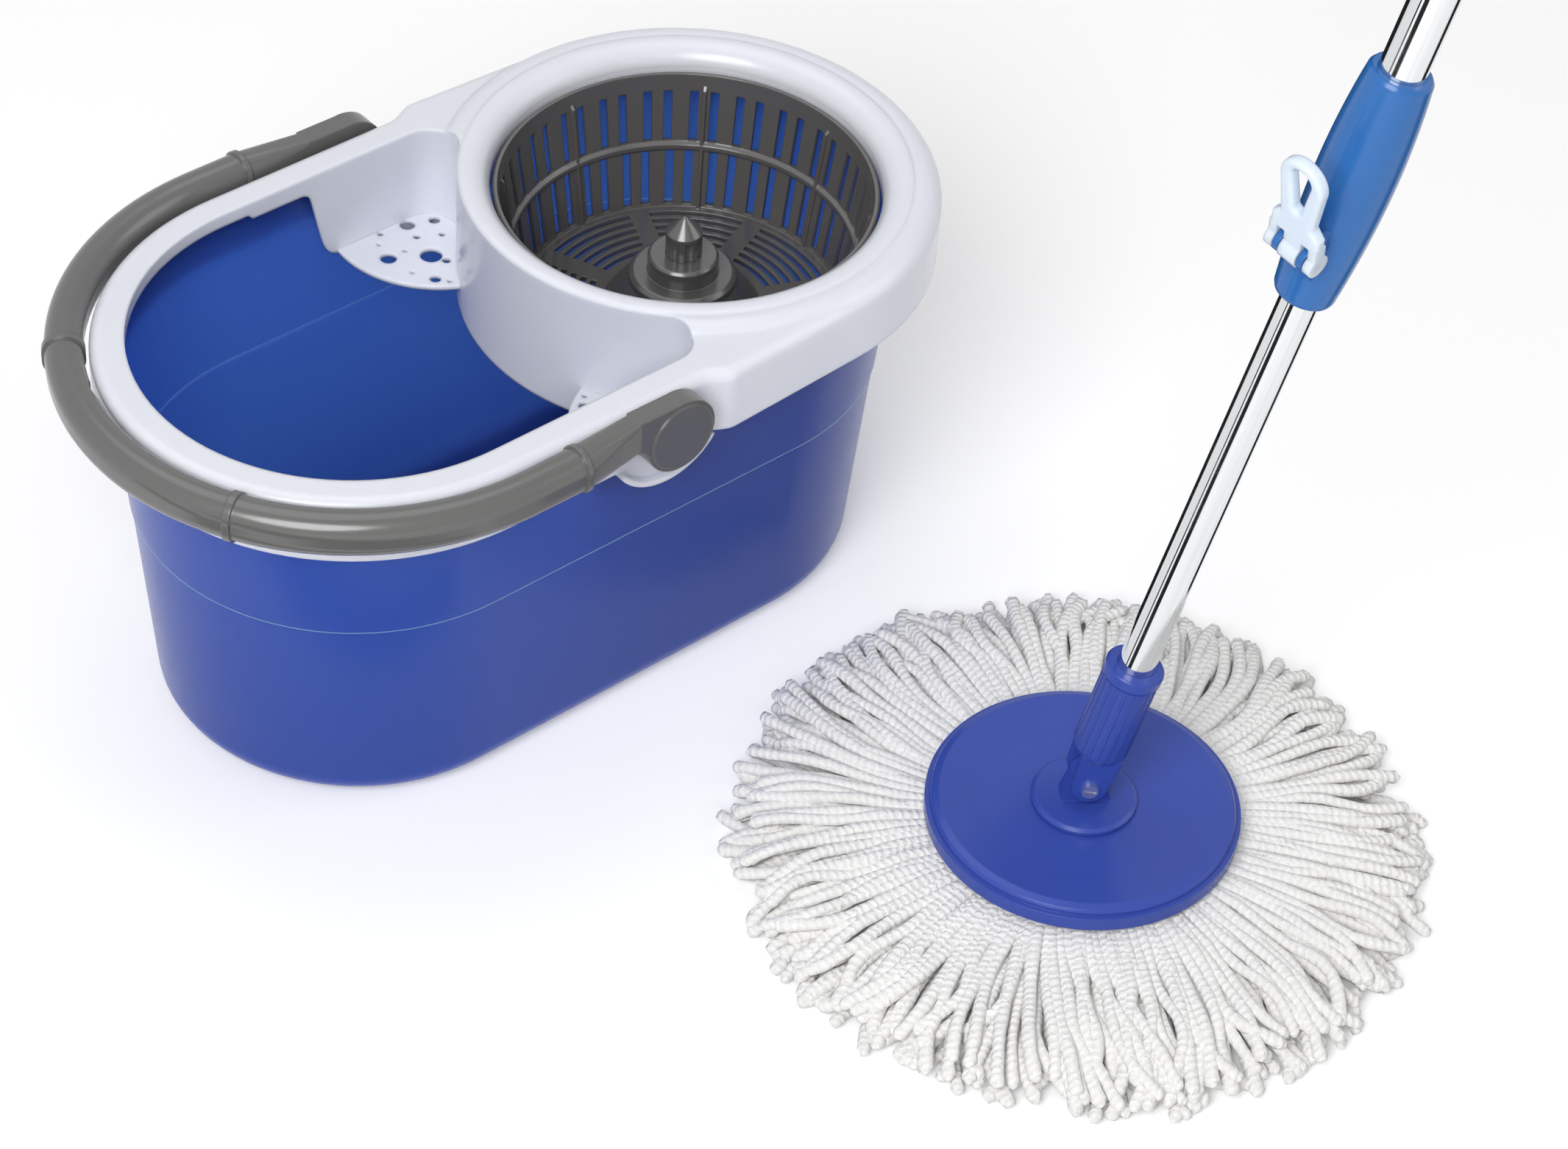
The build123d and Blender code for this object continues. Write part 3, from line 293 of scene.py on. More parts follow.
@dataclass
class NodeGroups:
    """Shader effects that several finishes share, each built once.

    Attributes:
        middle: Range in which most of a noise's values lie.
        cloud_scale: Scale of the tint's clouds.
        sheen_scale: Scale of the uneven gloss.
        scratch_turn: Turn of the scratches, in radians.
        scratch_scale: Scale along and across them.
        scratch_cut: Range of the noise that shows as scratches.
        worn_scale: Scale of the worn patches.
        worn_cut: Range of the noise that counts as worn.
        line_scale: Scale of a drawn tube's lines, across and along it.
        line_tint: Darkest and lightest tint of the lines.
        smudge_scale: Scale of the smudges.
        smudge_cut: Range of the noise that counts as a smudge.
        smudge_dull: Roughness that a smudge adds.
        fuzz_scale: Scale of the yarn's fuzz.
        fuzz_height: Height of the fuzz.
        wander_scale: Scale at which the yarn's ribs wander.
        wander: How far they wander, in ribs.
        rib_height: Height of the ribs.
        groove_cut: Heights between which a groove is shaded.
        groove_painted_shade: Painted shade: grey factor at the bottom of a groove and above it.
        mottle_tint: Darkest and lightest tint of the mottling.
    """

    middle: Range = (0.3, 0.7)
    cloud_scale: float = 9.0
    sheen_scale: float = 60.0
    scratch_turn: Rgb = (0.6, 0.25, 0.8)
    scratch_scale: Rgb = (16.0, 1300.0, 1300.0)
    scratch_cut: Range = (0.68, 0.76)
    worn_scale: float = 22.0
    worn_cut: Range = (0.5, 0.66)
    line_scale: Rgb = (700.0, 700.0, 5.0)
    line_tint: Range = (0.93, 1.03)
    smudge_scale: float = 35.0
    smudge_cut: Range = (0.45, 0.75)
    smudge_dull: float = 0.10
    fuzz_scale: float = 1500.0
    fuzz_height: float = 0.6
    wander_scale: float = 260.0
    wander: float = 0.9
    rib_height: float = 0.7
    groove_cut: Range = (0.0, 0.4)
    groove_painted_shade: Range = (0.93, 1.0)
    mottle_tint: Range = (0.97, 1.02)

    def __post_init__(self) -> None:
        """Build every group."""
        self.skin = self._moulded_skin()
        self.scuffs = self._scuffs()
        self.drawn = self._drawn_metal()
        self.ply = self._yarn_ply()

    @staticmethod
    def _new(
        name: str,
        inputs: Sequence[tuple[str, Kind, object]],
        outputs: Sequence[tuple[str, Kind]],
    ) -> tuple[Tree, Node, Node]:
        """Make an empty group with its sockets.

        Args:
            name: Name of the group.
            inputs: Name, type and default of each input.
            outputs: Name and type of each output.

        Returns:
            The group, its input node and its output node.
        """
        group = bpy.data.node_groups.new(name, "ShaderNodeTree")
        for label, kind, default in inputs:
            socket = group.interface.new_socket(label, in_out="INPUT", socket_type=kind.value)
            socket.default_value = default
        for label, kind in outputs:
            group.interface.new_socket(label, in_out="OUTPUT", socket_type=kind.value)
        return group, group.nodes.new("NodeGroupInput"), group.nodes.new("NodeGroupOutput")

    @staticmethod
    def _where(group: Tree) -> Socket:
        """Give the piece's own coordinates.

        Args:
            group: Tree that takes the node.

        Returns:
            The coordinates.
        """
        return group.nodes.new("ShaderNodeTexCoord").outputs["Object"]

    def _moulded_skin(self) -> Tree:
        """Clouded tint, uneven gloss and fine orange peel of moulded plastic.

        Returns:
            The group.
        """
        group, given, result = self._new(
            "moulded_skin",
            (
                ("Color", Kind.COLOR, (0.5, 0.5, 0.5, 1.0)),
                ("Cloud", Kind.VALUE, 0.05),
                ("Roughness", Kind.VALUE, 0.3),
                ("Gloss Spread", Kind.VALUE, 0.06),
                ("Grain", Kind.VALUE, 900.0),
            ),
            (("Color", Kind.COLOR), ("Roughness", Kind.VALUE), ("Height", Kind.VALUE)),
        )
        where = self._where(group)
        cloud = noise(group, where, self.cloud_scale, detail=3.0)
        fine = noise(group, where, self.sheen_scale, detail=4.0, rough=0.6)
        peel = noise(group, where, given.outputs["Grain"], detail=2.0)
        low = join(group, Sum.SUBTRACT, 1.0, given.outputs["Cloud"])
        high = join(group, Sum.ADD, 1.0, given.outputs["Cloud"])
        tint = span(group, cloud, self.middle, low, high)
        rough, spread = given.outputs["Roughness"], given.outputs["Gloss Spread"]
        sheen = join(group, Sum.SUBTRACT, rough, spread)
        dull = join(group, Sum.ADD, rough, spread)
        gloss = span(group, fine, self.middle, sheen, dull)
        group.links.new(shade(group, given.outputs["Color"], tint), result.inputs["Color"])
        group.links.new(gloss, result.inputs["Roughness"])
        group.links.new(peel, result.inputs["Height"])
        return group

    def _scuffs(self) -> Tree:
        """Sparse fine scratches, as a mask.

        Returns:
            The group.
        """
        group, given, result = self._new(
            "handling_scuffs", (("Density", Kind.VALUE, 0.3),), (("Mask", Kind.VALUE),)
        )
        where = self._where(group)
        turn = group.nodes.new("ShaderNodeMapping")
        set_sockets(turn, {"Rotation": self.scratch_turn, "Scale": self.scratch_scale})
        group.links.new(where, turn.inputs["Vector"])
        lines = noise(group, turn.outputs["Vector"], scale=1.0, detail=1.0)
        patch = noise(group, where, self.worn_scale, detail=2.0)
        thin = span(group, lines, self.scratch_cut, 0.0, 1.0)
        worn = span(group, patch, self.worn_cut, 0.0, given.outputs["Density"])
        group.links.new(join(group, Sum.MULTIPLY, thin, worn), result.inputs["Mask"])
        return group

    def _drawn_metal(self) -> Tree:
        """Fine lines along a drawn tube, and faint smudges.

        Returns:
            The group.
        """
        group, given, result = self._new(
            "drawn_metal",
            (
                ("Color", Kind.COLOR, (0.7, 0.7, 0.7, 1.0)),
                ("Roughness", Kind.VALUE, 0.1),
                ("Turn", Kind.VECTOR, (0.0, 0.0, 0.0)),
            ),
            (("Color", Kind.COLOR), ("Roughness", Kind.VALUE), ("Height", Kind.VALUE)),
        )
        where = self._where(group)
        turn = group.nodes.new("ShaderNodeMapping")
        turn.vector_type = "TEXTURE"
        group.links.new(where, turn.inputs["Vector"])
        group.links.new(given.outputs["Turn"], turn.inputs["Rotation"])
        stretch = group.nodes.new("ShaderNodeMapping")
        set_sockets(stretch, {"Scale": self.line_scale})
        group.links.new(turn.outputs["Vector"], stretch.inputs["Vector"])
        lines = noise(group, stretch.outputs["Vector"], scale=1.0, detail=2.0)
        smudge = noise(group, where, self.smudge_scale, detail=3.0)
        tint = span(group, lines, self.middle, *self.line_tint)
        rough = given.outputs["Roughness"]
        dull = join(group, Sum.ADD, rough, self.smudge_dull)
        gloss = span(group, smudge, self.smudge_cut, rough, dull)
        group.links.new(shade(group, given.outputs["Color"], tint), result.inputs["Color"])
        group.links.new(gloss, result.inputs["Roughness"])
        group.links.new(lines, result.inputs["Height"])
        return group

    def _yarn_ply(self) -> Tree:
        """Soft cross ribs and fuzz of chenille yarn along a strand's own UV map, with painted
        shade in the grooves and from the strands' depth attribute.

        Returns:
            The group.
        """
        group, given, result = self._new(
            "yarn_ply",
            (("Color", Kind.COLOR, (0.9, 0.9, 0.9, 1.0)), ("Depth", Kind.VALUE, 1.0)),
            (("Color", Kind.COLOR), ("Height", Kind.VALUE)),
        )
        chart = group.nodes.new("ShaderNodeUVMap")
        chart.uv_map = "strand"
        split = group.nodes.new("ShaderNodeSeparateXYZ")
        group.links.new(chart.outputs["UV"], split.inputs["Vector"])
        where = self._where(group)
        fuzz = noise(group, where, self.fuzz_scale, detail=3.0, rough=0.7)
        wander = noise(group, where, self.wander_scale, detail=2.0)
        lean = join(group, Sum.ADD, split.outputs["X"], split.outputs["Y"])
        bend = join(group, Sum.MULTIPLY, wander, self.wander)
        turns = join(group, Sum.ADD, lean, bend)
        wave = join(group, Sum.SINE, join(group, Sum.MULTIPLY, turns, 2.0 * math.pi))
        rib = span(group, wave, (-1.0, 1.0), 0.0, self.rib_height)
        soft = join(group, Sum.MULTIPLY, fuzz, self.fuzz_height)
        # Painted shade: the yarn's colour is darkened at the bottom of each rib's groove.
        groove = span(group, rib, self.groove_cut, *self.groove_painted_shade)
        mottle = span(group, wander, self.middle, *self.mottle_tint)
        tint = join(group, Sum.MULTIPLY, groove, mottle)
        # Painted shade: the "depth" grey from the strands darkens lower layers, undersides and
        # tips.
        tint = join(group, Sum.MULTIPLY, tint, given.outputs["Depth"])
        group.links.new(shade(group, given.outputs["Color"], tint), result.inputs["Color"])
        group.links.new(join(group, Sum.ADD, rib, soft), result.inputs["Height"])
        return group


@dataclass(frozen=True)
class Plastic:
    """Moulded plastic finish.

    Attributes:
        name: Name of the material.
        color: Screen colour, 0 to 255.
        rough: Middle roughness.
        cloud: Spread of the tint.
        peel: Strength of the orange peel.
        scuff: Density of the fine scratches.
        edge: Radius of softened edges, in metres.
        gloss: Level of the surface reflection.
        soak: Share of light that soaks into the wall.
        reach: How far soaked light travels, in metres.
        stain: Relative reach of red, green and blue.
        grain: Scale of the orange peel.
        grain_depth: Depth of the orange peel, in metres.
        spread: Spread of the gloss, as a share of the roughness.
        scuff_dull: Roughness that a scratch adds.
        edge_rays: Rays that soften an edge.
    """

    name: str
    color: tuple[int, int, int]
    rough: float = 0.3
    cloud: float = 0.03
    peel: float = 0.03
    scuff: float = 0.25
    edge: float = 0.0012
    gloss: float = 0.5
    soak: float = 0.0
    reach: float = 0.004
    stain: Rgb = (1.0, 1.0, 1.0)
    grain: float = 700.0
    grain_depth: float = 0.0004
    spread: float = 0.07
    scuff_dull: float = 0.15
    edge_rays: int = 6

    def build(self, groups: NodeGroups) -> bpy.types.Material:
        """Make the material.

        Args:
            groups: Shared shader effects.

        Returns:
            The material.
        """
        material, tree, shader = start_material(self.name)
        skin = place_group(tree, groups.skin, {
            "Color": linear(*self.color),
            "Cloud": self.cloud,
            "Roughness": self.rough,
            "Gloss Spread": self.rough * self.spread,
            "Grain": self.grain,
        })
        scuffs = place_group(tree, groups.scuffs, {"Density": self.scuff})
        scratch = join(tree, Sum.MULTIPLY, scuffs.outputs["Mask"], self.scuff_dull)
        rough = join(tree, Sum.ADD, scratch, skin.outputs["Roughness"])
        soften = tree.nodes.new("ShaderNodeBevel")
        soften.samples = self.edge_rays
        soften.inputs["Radius"].default_value = self.edge
        relief = bump(tree, skin.outputs["Height"], self.peel, self.grain_depth)
        tree.links.new(soften.outputs["Normal"], relief.inputs["Normal"])
        tree.links.new(skin.outputs["Color"], shader.inputs["Base Color"])
        tree.links.new(rough, shader.inputs["Roughness"])
        tree.links.new(relief.outputs["Normal"], shader.inputs["Normal"])
        shader.inputs["Specular IOR Level"].default_value = self.gloss
        if self.soak > 0.0:
            set_sockets(shader, {
                "Subsurface Weight": self.soak,
                "Subsurface Scale": self.reach,
                "Subsurface Radius": self.stain,
            })
        return material


@dataclass(frozen=True)
class Metal:
    """Drawn or turned metal finish.

    Attributes:
        name: Name of the material.
        color: Screen colour, 0 to 255.
        rough: Roughness of the clean metal.
        turn: Rotation that carries the pattern's length to the tube's axis, in radians.
        lines: Strength of the fine lines.
        line_depth: Depth of the fine lines, in metres.
    """

    name: str
    color: tuple[int, int, int]
    rough: float
    turn: Rgb = (0.0, 0.0, 0.0)
    lines: float = 0.01
    line_depth: float = 0.0002

    def build(self, groups: NodeGroups) -> bpy.types.Material:
        """Make the material.

        Args:
            groups: Shared shader effects.

        Returns:
            The material.
        """
        material, tree, shader = start_material(self.name)
        drawn = place_group(tree, groups.drawn, {
            "Color": linear(*self.color), "Roughness": self.rough, "Turn": self.turn})
        relief = bump(tree, drawn.outputs["Height"], self.lines, self.line_depth)
        tree.links.new(drawn.outputs["Color"], shader.inputs["Base Color"])
        tree.links.new(drawn.outputs["Roughness"], shader.inputs["Roughness"])
        tree.links.new(relief.outputs["Normal"], shader.inputs["Normal"])
        shader.inputs["Metallic"].default_value = 1.0
        return material


@dataclass(frozen=True)
class Yarn:
    """Soft chenille yarn.

    Attributes:
        name: Name of the material.
        color: Screen colour, 0 to 255.
        rough: Roughness of the pile.
        gloss: Level of the surface reflection.
        sheen: Weight of the fibre sheen.
        sheen_rough: Roughness of the fibre sheen.
        relief: Strength of the ribs and the fuzz.
        relief_depth: Their depth, in metres.
    """

    name: str
    color: tuple[int, int, int]
    rough: float = 0.95
    gloss: float = 0.15
    sheen: float = 0.25
    sheen_rough: float = 0.5
    relief: float = 0.6
    relief_depth: float = 0.0018

    def build(self, groups: NodeGroups) -> bpy.types.Material:
        """Make the material.

        Args:
            groups: Shared shader effects.

        Returns:
            The material.
        """
        material, tree, shader = start_material(self.name)
        # The "depth" attribute is painted shade: it darkens lower layers, strand undersides and
        # tips.
        depth = tree.nodes.new("ShaderNodeAttribute")
        depth.attribute_name = "depth"
        ply = place_group(tree, groups.ply, {"Color": linear(*self.color)})
        tree.links.new(depth.outputs["Fac"], ply.inputs["Depth"])
        pile = bump(tree, ply.outputs["Height"], self.relief, self.relief_depth)
        tree.links.new(ply.outputs["Color"], shader.inputs["Base Color"])
        tree.links.new(pile.outputs["Normal"], shader.inputs["Normal"])
        set_sockets(shader, {
            "Roughness": self.rough,
            "Sheen Weight": self.sheen,
            "Sheen Roughness": self.sheen_rough,
            "Specular IOR Level": self.gloss,
        })
        return material


@dataclass
class Assembly:
    """Nodes of the frame that belong together.

    Attributes:
        nodes: Objects of the frame by name.
        groups: Shared shader effects.
    """

    nodes: dict[str, bpy.types.Object]
    groups: NodeGroups

    def dress(self, finish: Union[Plastic, Metal], *names: str) -> None:
        """Give nodes a finish.

        Args:
            finish: The finish.
            names: Nodes that take it.
        """
        material = finish.build(self.groups)
        for name in names:
            slots = self.nodes[name].data.materials
            slots.clear()
            slots.append(material)
            LOG.info("%s: %s", name, finish.name)


@dataclass
class Bucket(Assembly):
    """Tub, deck, spinning basket and carry handle."""

    tub: Plastic = Plastic(
        "tub_blue", (40, 67, 156), rough=0.25, cloud=0.012, peel=0.008, scuff=0.08, edge=0.002,
        gloss=0.2, soak=1.0, reach=0.029, stain=(0.5, 0.57, 1.0))
    deck: Plastic = Plastic(
        "deck_white", (223, 226, 236), rough=0.22, cloud=0.012, peel=0.01, scuff=0.08,
        edge=0.0024, soak=0.5, reach=0.006, stain=(0.9, 0.95, 1.0))
    handle: Plastic = Plastic(
        "handle_grey", (94, 93, 92), rough=0.2, cloud=0.02, peel=0.01, scuff=0.08, gloss=0.65)
    basket: Plastic = Plastic(
        "basket_grey", (90, 88, 87), rough=0.18, peel=0.01, scuff=0.08, edge=0.0011, gloss=0.9)
    hub: Plastic = Plastic(
        "hub_grey", (82, 81, 80), rough=0.2, peel=0.01, scuff=0.08, gloss=0.9)
    bearing: Plastic = Plastic("bearing_white", (210, 210, 205), rough=0.5, peel=0.1, edge=0.0004)
    spindle: Metal = Metal("spindle_steel", (160, 160, 162), rough=0.25)

    def finish(self) -> None:
        """Dress the bucket's nodes."""
        self.dress(self.tub, "tub")
        self.dress(self.deck, "deck")
        self.dress(self.handle, "carry_handle", "handle_pins")
        self.dress(self.basket, "basket")
        self.dress(self.hub, "basket_hub", "drive_spike")
        self.dress(self.bearing, "pillar", "hub_bush", "thrust_washer")
        self.dress(self.spindle, "spindle")


@dataclass
class Pole(Assembly):
    """Telescoping pole with its lock sleeve, clip and drive."""

    along: Rgb = (0.0, math.radians(LEAN), math.radians(LEAN_TO))
    tube: Metal = Metal("tube_bright", (226, 228, 230), rough=0.06, turn=along)
    drive: Metal = Metal("drive_steel", (150, 150, 152), rough=0.3, turn=along)
    sleeve: Plastic = Plastic(
        "sleeve_blue", (42, 104, 174), rough=0.22, cloud=0.02, peel=0.012, scuff=0.08, gloss=0.4)
    clip: Plastic = Plastic(
        "clip_milky", (216, 228, 242), rough=0.26, cloud=0.02, peel=0.02, scuff=0.1, edge=0.0016,
        soak=0.8, reach=0.006)
    guide: Plastic = Plastic("guide_white", (214, 214, 210), rough=0.5, peel=0.1, edge=0.0004)

    def finish(self) -> None:
        """Dress the pole's nodes."""
        self.dress(self.tube, "upper_tube", "lower_tube")
        self.dress(self.drive, "drive_screw", "clip_pin")
        self.dress(self.sleeve, "lock_sleeve", "end_cap")
        self.dress(self.clip, "lock_clip")
        self.dress(self.guide, "drive_nut", "slide_bush", "guide_ring", "screw_plug", "cam_pad")


@dataclass
class MopHead(Assembly):
    """Round plate, hinge and fork."""

    plate: Plastic = Plastic(
        "plate_blue", (52, 74, 162), rough=0.26, cloud=0.02, peel=0.012, scuff=0.08, edge=0.0010,
        gloss=0.3)
    ring: Plastic = Plastic("ring_white", (226, 226, 226), rough=0.4, edge=0.0006)
    screw: Metal = Metal("screw_steel", (226, 226, 228), rough=0.34)

    def finish(self) -> None:
        """Dress the head's nodes."""
        self.dress(self.plate, "mop_plate", "hinge_base", "fork_socket")
        self.dress(self.ring, "string_ring")
        self.dress(self.screw, "fork_screw")


@dataclass(frozen=True)
class StrandForm:
    """Form of one yarn strand.

    Attributes:
        radius: Middle radius, in metres.
        rib: Length of one rib, in metres.
        sides: Corners of a ring.
        rings: Where its rings stand, as shares of its length.
        sizes: Range of a strand's size against the middle radius.
        lumps: Range of a ring's size against its strand.
        pile: Range of a corner's reach against its ring.
        frayed: Range by which the last ring's corners draw in.
        neck: Girth at the sewn ring.
        swell: Girth that it gains from there.
        swell_rate: How fast it gains it.
        knob: Girth of the last ring but one.
        flat: Height of a ring against its width.
        floor_gap: Lowest height of a corner, in metres.
        tip: How far the tip stands beyond the last ring, in metres.
        tip_painted_shade: Painted shade at the tip, a fixed grey factor.
        tip_rib: Share of a rib that the tip takes.
        tone: Painted shade: grey factor of the lowest layer and of a strand's underside, where
            less light reaches.
        painted_shade_gain: Painted shade: brightness that the top layer and a strand's top gain,
            as if lit more.
    """

    radius: float = 0.0034
    rib: float = 0.0042
    sides: int = 6
    rings: tuple[float, ...] = (
        0.0, 0.1, 0.2, 0.3, 0.4, 0.5, 0.6, 0.69, 0.77, 0.84, 0.90, 0.945, 0.98, 1.0)
    sizes: Range = (0.92, 1.10)
    lumps: Range = (0.90, 1.10)
    pile: Range = (0.95, 1.05)
    frayed: Range = (0.45, 0.95)
    neck: float = 0.85
    swell: float = 0.15
    swell_rate: float = 4.0
    knob: float = 1.10
    flat: float = 0.94
    floor_gap: float = 0.0002
    tip: float = 0.0012
    tip_painted_shade: float = 0.97
    tip_rib: float = 0.4
    tone: float = 0.95
    painted_shade_gain: float = 0.05


@dataclass(frozen=True)
class Layer:
    """One layer of strings.

    Attributes:
        count: Strands in each sector.
        root: Height of the strands' middles at the ring, in metres.
        rest: Height to which they settle.
        tip: Height of their tips.
        short: How much shorter than the lowest layer they are.
    """

    count: int
    root: float
    rest: float
    tip: float
    short: float


@dataclass(frozen=True)
class Wave:
    """Part of the sideways lean that neighbouring strands share.

    Attributes:
        size: Largest lean, as a slope.
        turns: Waves round the whole ring.
        start: Phase of the lowest layer, in radians.
        step: Phase that each layer above adds.
    """

    size: float
    turns: int
    start: float
    step: float


@dataclass(frozen=True)
class Tousle:
    """How strands differ from one another, in metres and shares of a strand's length.

    Attributes:
        waves: Leans that neighbours share, so that they lie in locks.
        lean: Spread of a strand's own lean, as a slope.
        ragged: Spread of the lengths.
        scallop: Half depth of the scalloped edge.
        scallop_turns: Scallops round the ring.
        scallop_step: Phase that each layer adds to them.
        sway: Largest sideways sway.
        sway_turns: Range of half waves that a sway makes.
        curl: Spread of the curl at the tip.
        curl_from: Where the curl begins.
        curl_rise: How fast it grows.
        bob: Range of the rise and fall.
        bob_in: How fast it sets in.
        bob_turns: Half waves that it makes.
        settle: Where a strand has settled to its layer's height.
        fall_from: Where it begins to fall to its tip.
        fall_over: Share of the length that the fall takes.
        press: Lowest height of a strand's middle, against its radius.
        stagger: Shift of every other layer, in strands.
        jitter: Largest shift of one strand, in strands.
    """

    waves: tuple[Wave, ...] = (
        Wave(0.30, 2, 0.9, 0.0), Wave(0.22, 5, 0.4, 0.25),
        Wave(0.14, 9, 2.1, 0.6), Wave(0.07, 21, 0.0, 1.3))
    lean: float = 0.09
    ragged: float = 0.009
    scallop: float = 0.003
    scallop_turns: int = 17
    scallop_step: float = 1.7
    sway: float = 0.005
    sway_turns: Range = (0.9, 1.9)
    curl: float = 0.008
    curl_from: float = 0.7
    curl_rise: float = 11.0
    bob: Range = (-0.0012, 0.0016)
    bob_in: float = 3.0
    bob_turns: float = 3.4
    settle: float = 0.55
    fall_from: float = 0.68
    fall_over: float = 0.32
    press: float = 0.95
    stagger: float = 0.25
    jitter: float = 0.35


@dataclass
class YarnSkirt:
    """Loose strings round the mop plate, one piece to each sector of the sewn ring.

    Attributes:
        groups: Shared shader effects.
        centre: Middle of the plate on the floor, in metres.
        sectors: Sectors of the ring.
        layers: Layers of strings, from the floor up.
        root: Radius at which the strings leave the ring.
        reach: Radius that the longest reach.
        form: Form of a strand.
        tousle: How strands differ.
        yarn: Their finish.
        seed: Start of the random source.
    """

    groups: NodeGroups
    centre: tuple[float, float] = (0.110, -0.332)
    sectors: int = 8
    layers: tuple[Layer, ...] = (
        Layer(16, 0.0046, 0.0034, 0.0034, 0.0), Layer(17, 0.0100, 0.0086, 0.0040, 0.001),
        Layer(18, 0.0152, 0.0140, 0.0074, 0.003), Layer(18, 0.0198, 0.0190, 0.0118, 0.006))
    root: float = 0.060
    reach: float = 0.183
    form: StrandForm = StrandForm()
    tousle: Tousle = Tousle()
    yarn: Yarn = Yarn("string_yarn", (250, 249, 247))
    seed: int = 11

    def build(self) -> None:
        """Make the eight pieces in place of the sewn sectors."""
        material = self.yarn.build(self.groups)
        draw = random.Random(self.seed)
        for sector in range(self.sectors):
            piece = self._sector(sector, draw)
            piece.data.materials.append(material)
            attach(piece, "mop_head")
            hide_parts(f"strings_{sector + 1}")
            LOG.info("%s: %d faces", piece.name, len(piece.data.polygons))

    def _path(self, angle: float, level: int, draw: random.Random) -> np.ndarray:
        """Lay one strand from the ring to its tip.

        Args:
            angle: Heading of its root.
            level: Number of its layer, 0 on the floor.
            draw: Random source.

        Returns:
            Points along its middle.
        """
        layer, loose = self.layers[level], self.tousle
        length = self.reach - self.root - layer.short - abs(draw.gauss(0.0, loose.ragged))
        scallop = math.sin(loose.scallop_turns * angle + loose.scallop_step * level)
        length -= loose.scallop * (1.0 + scallop)
        lean = sum(wave.size * math.sin(wave.turns * angle + wave.start + wave.step * level)
                   for wave in loose.waves)
        lean += draw.gauss(0.0, loose.lean)
        sway = draw.uniform(-loose.sway, loose.sway)
        curl = draw.gauss(0.0, loose.curl)
        turns = draw.uniform(*loose.sway_turns)
        phase = draw.uniform(0.0, 2 * math.pi)
        bob = draw.uniform(*loose.bob)
        points = []
        for share in self.form.rings:
            along = self.root + length * share
            side = lean * 0.5 * length * share * share
            side += curl * max(0.0, share - loose.curl_from) ** 2 * loose.curl_rise
            side += sway * share * math.sin(turns * math.pi * share * 2 + phase)
            settle = min(1.0, share / loose.settle)
            settle = settle * settle * (3 - 2 * settle)
            fall = max(0.0, (share - loose.fall_from) / loose.fall_over) ** 2
            height = layer.root + (layer.rest - layer.root) * settle
            height += (layer.tip - layer.rest) * fall
            rise = math.sin(loose.bob_turns * share * math.pi + phase)
            height += bob * min(1.0, loose.bob_in * share) * rise
            height = max(height, self.form.radius * loose.press)
            x = math.cos(angle) * along - math.sin(angle) * side
            y = math.sin(angle) * along + math.cos(angle) * side
            points.append((self.centre[0] + x, self.centre[1] + y, height))
        return np.array(points)

    def _strand(self, path: np.ndarray, level: int, draw: random.Random) -> Strand:
        """Wrap a soft, lumpy skin round a strand's middle.

        Args:
            path: Points along the middle.
            level: Number of its layer, 0 on the floor.
            draw: Random source.

        Returns:
            Corner points, faces, face-corner UVs and the painted shade of each corner point.
        """
        form = self.form
        tangent = np.gradient(path, axis=0)
        tangent /= np.linalg.norm(tangent, axis=1)[:, None]
        across = np.cross(tangent, (0.0, 0.0, 1.0))
        across /= np.linalg.norm(across, axis=1)[:, None]
        upward = np.cross(across, tangent)
        shift = draw.random()
        size = form.radius * draw.uniform(*form.sizes)
        # Painted shade: lower layers darker, as if the layers above shaded them.
        bright = form.tone + form.painted_shade_gain * level / (len(self.layers) - 1)
        points, painted_shades = [], []
        last = len(form.rings) - 1
        for step, share in enumerate(form.rings):
            swell = form.swell * min(1.0, share * form.swell_rate)
            girth = size * (form.neck + swell) * draw.uniform(*form.lumps)
            if step == last - 1:
                girth *= form.knob
            for corner in range(form.sides):
                turn = 2 * math.pi * corner / form.sides
                reach = girth * draw.uniform(*form.pile)
                if step == last:
                    reach *= draw.uniform(*form.frayed)
                rise = form.flat * math.sin(turn) * upward[step]
                spot = path[step] + reach * (math.cos(turn) * across[step] + rise)
                spot[2] = max(spot[2], form.floor_gap)
                points.append(spot)
                # Painted shade: a strand's top lighter and its underside darker.
                top = 0.5 + 0.5 * math.sin(turn)
                painted_shades.append((form.tone + form.painted_shade_gain * top) * bright)
        points.append(path[-1] + tangent[-1] * form.tip)
        # Painted shade at the tip.
        painted_shades.append(form.tip_painted_shade)
        steps = np.linalg.norm(np.diff(path, axis=0), axis=1)
        travel = np.concatenate([[0.0], np.cumsum(steps)])
        faces, charts = self._skin([place / form.rib + shift for place in travel])
        return points, faces, charts, painted_shades

    def _skin(self, ribs: Sequence[float]) -> tuple[list, list]:
        """Close a strand's rings with faces that point outwards.

        Args:
            ribs: Ribs counted from the root to each ring.

        Returns:
            Faces and face-corner UVs.
        """
        sides, last, end = self.form.sides, len(ribs) - 1, ribs[-1]
        faces, charts = [], []
        for step in range(last):
            low, high = ribs[step], ribs[step + 1]
            ring, above = step * sides, (step + 1) * sides
            for corner in range(sides):
                beside = (corner + 1) % sides
                left, right = corner / sides, (corner + 1) / sides
                faces.append((ring + corner, above + corner, above + beside, ring + beside))
                charts += [(left, low), (left, high), (right, high), (right, low)]
        ring, tip = last * sides, (last + 1) * sides
        for corner in range(sides):
            left, right = corner / sides, (corner + 1) / sides
            faces.append((ring + (corner + 1) % sides, ring + corner, tip))
            charts += [(right, end), (left, end), (left, end + self.form.tip_rib)]
        faces.append(tuple(range(sides)))
        charts += [(0.0, 0.0)] * sides
        return faces, charts

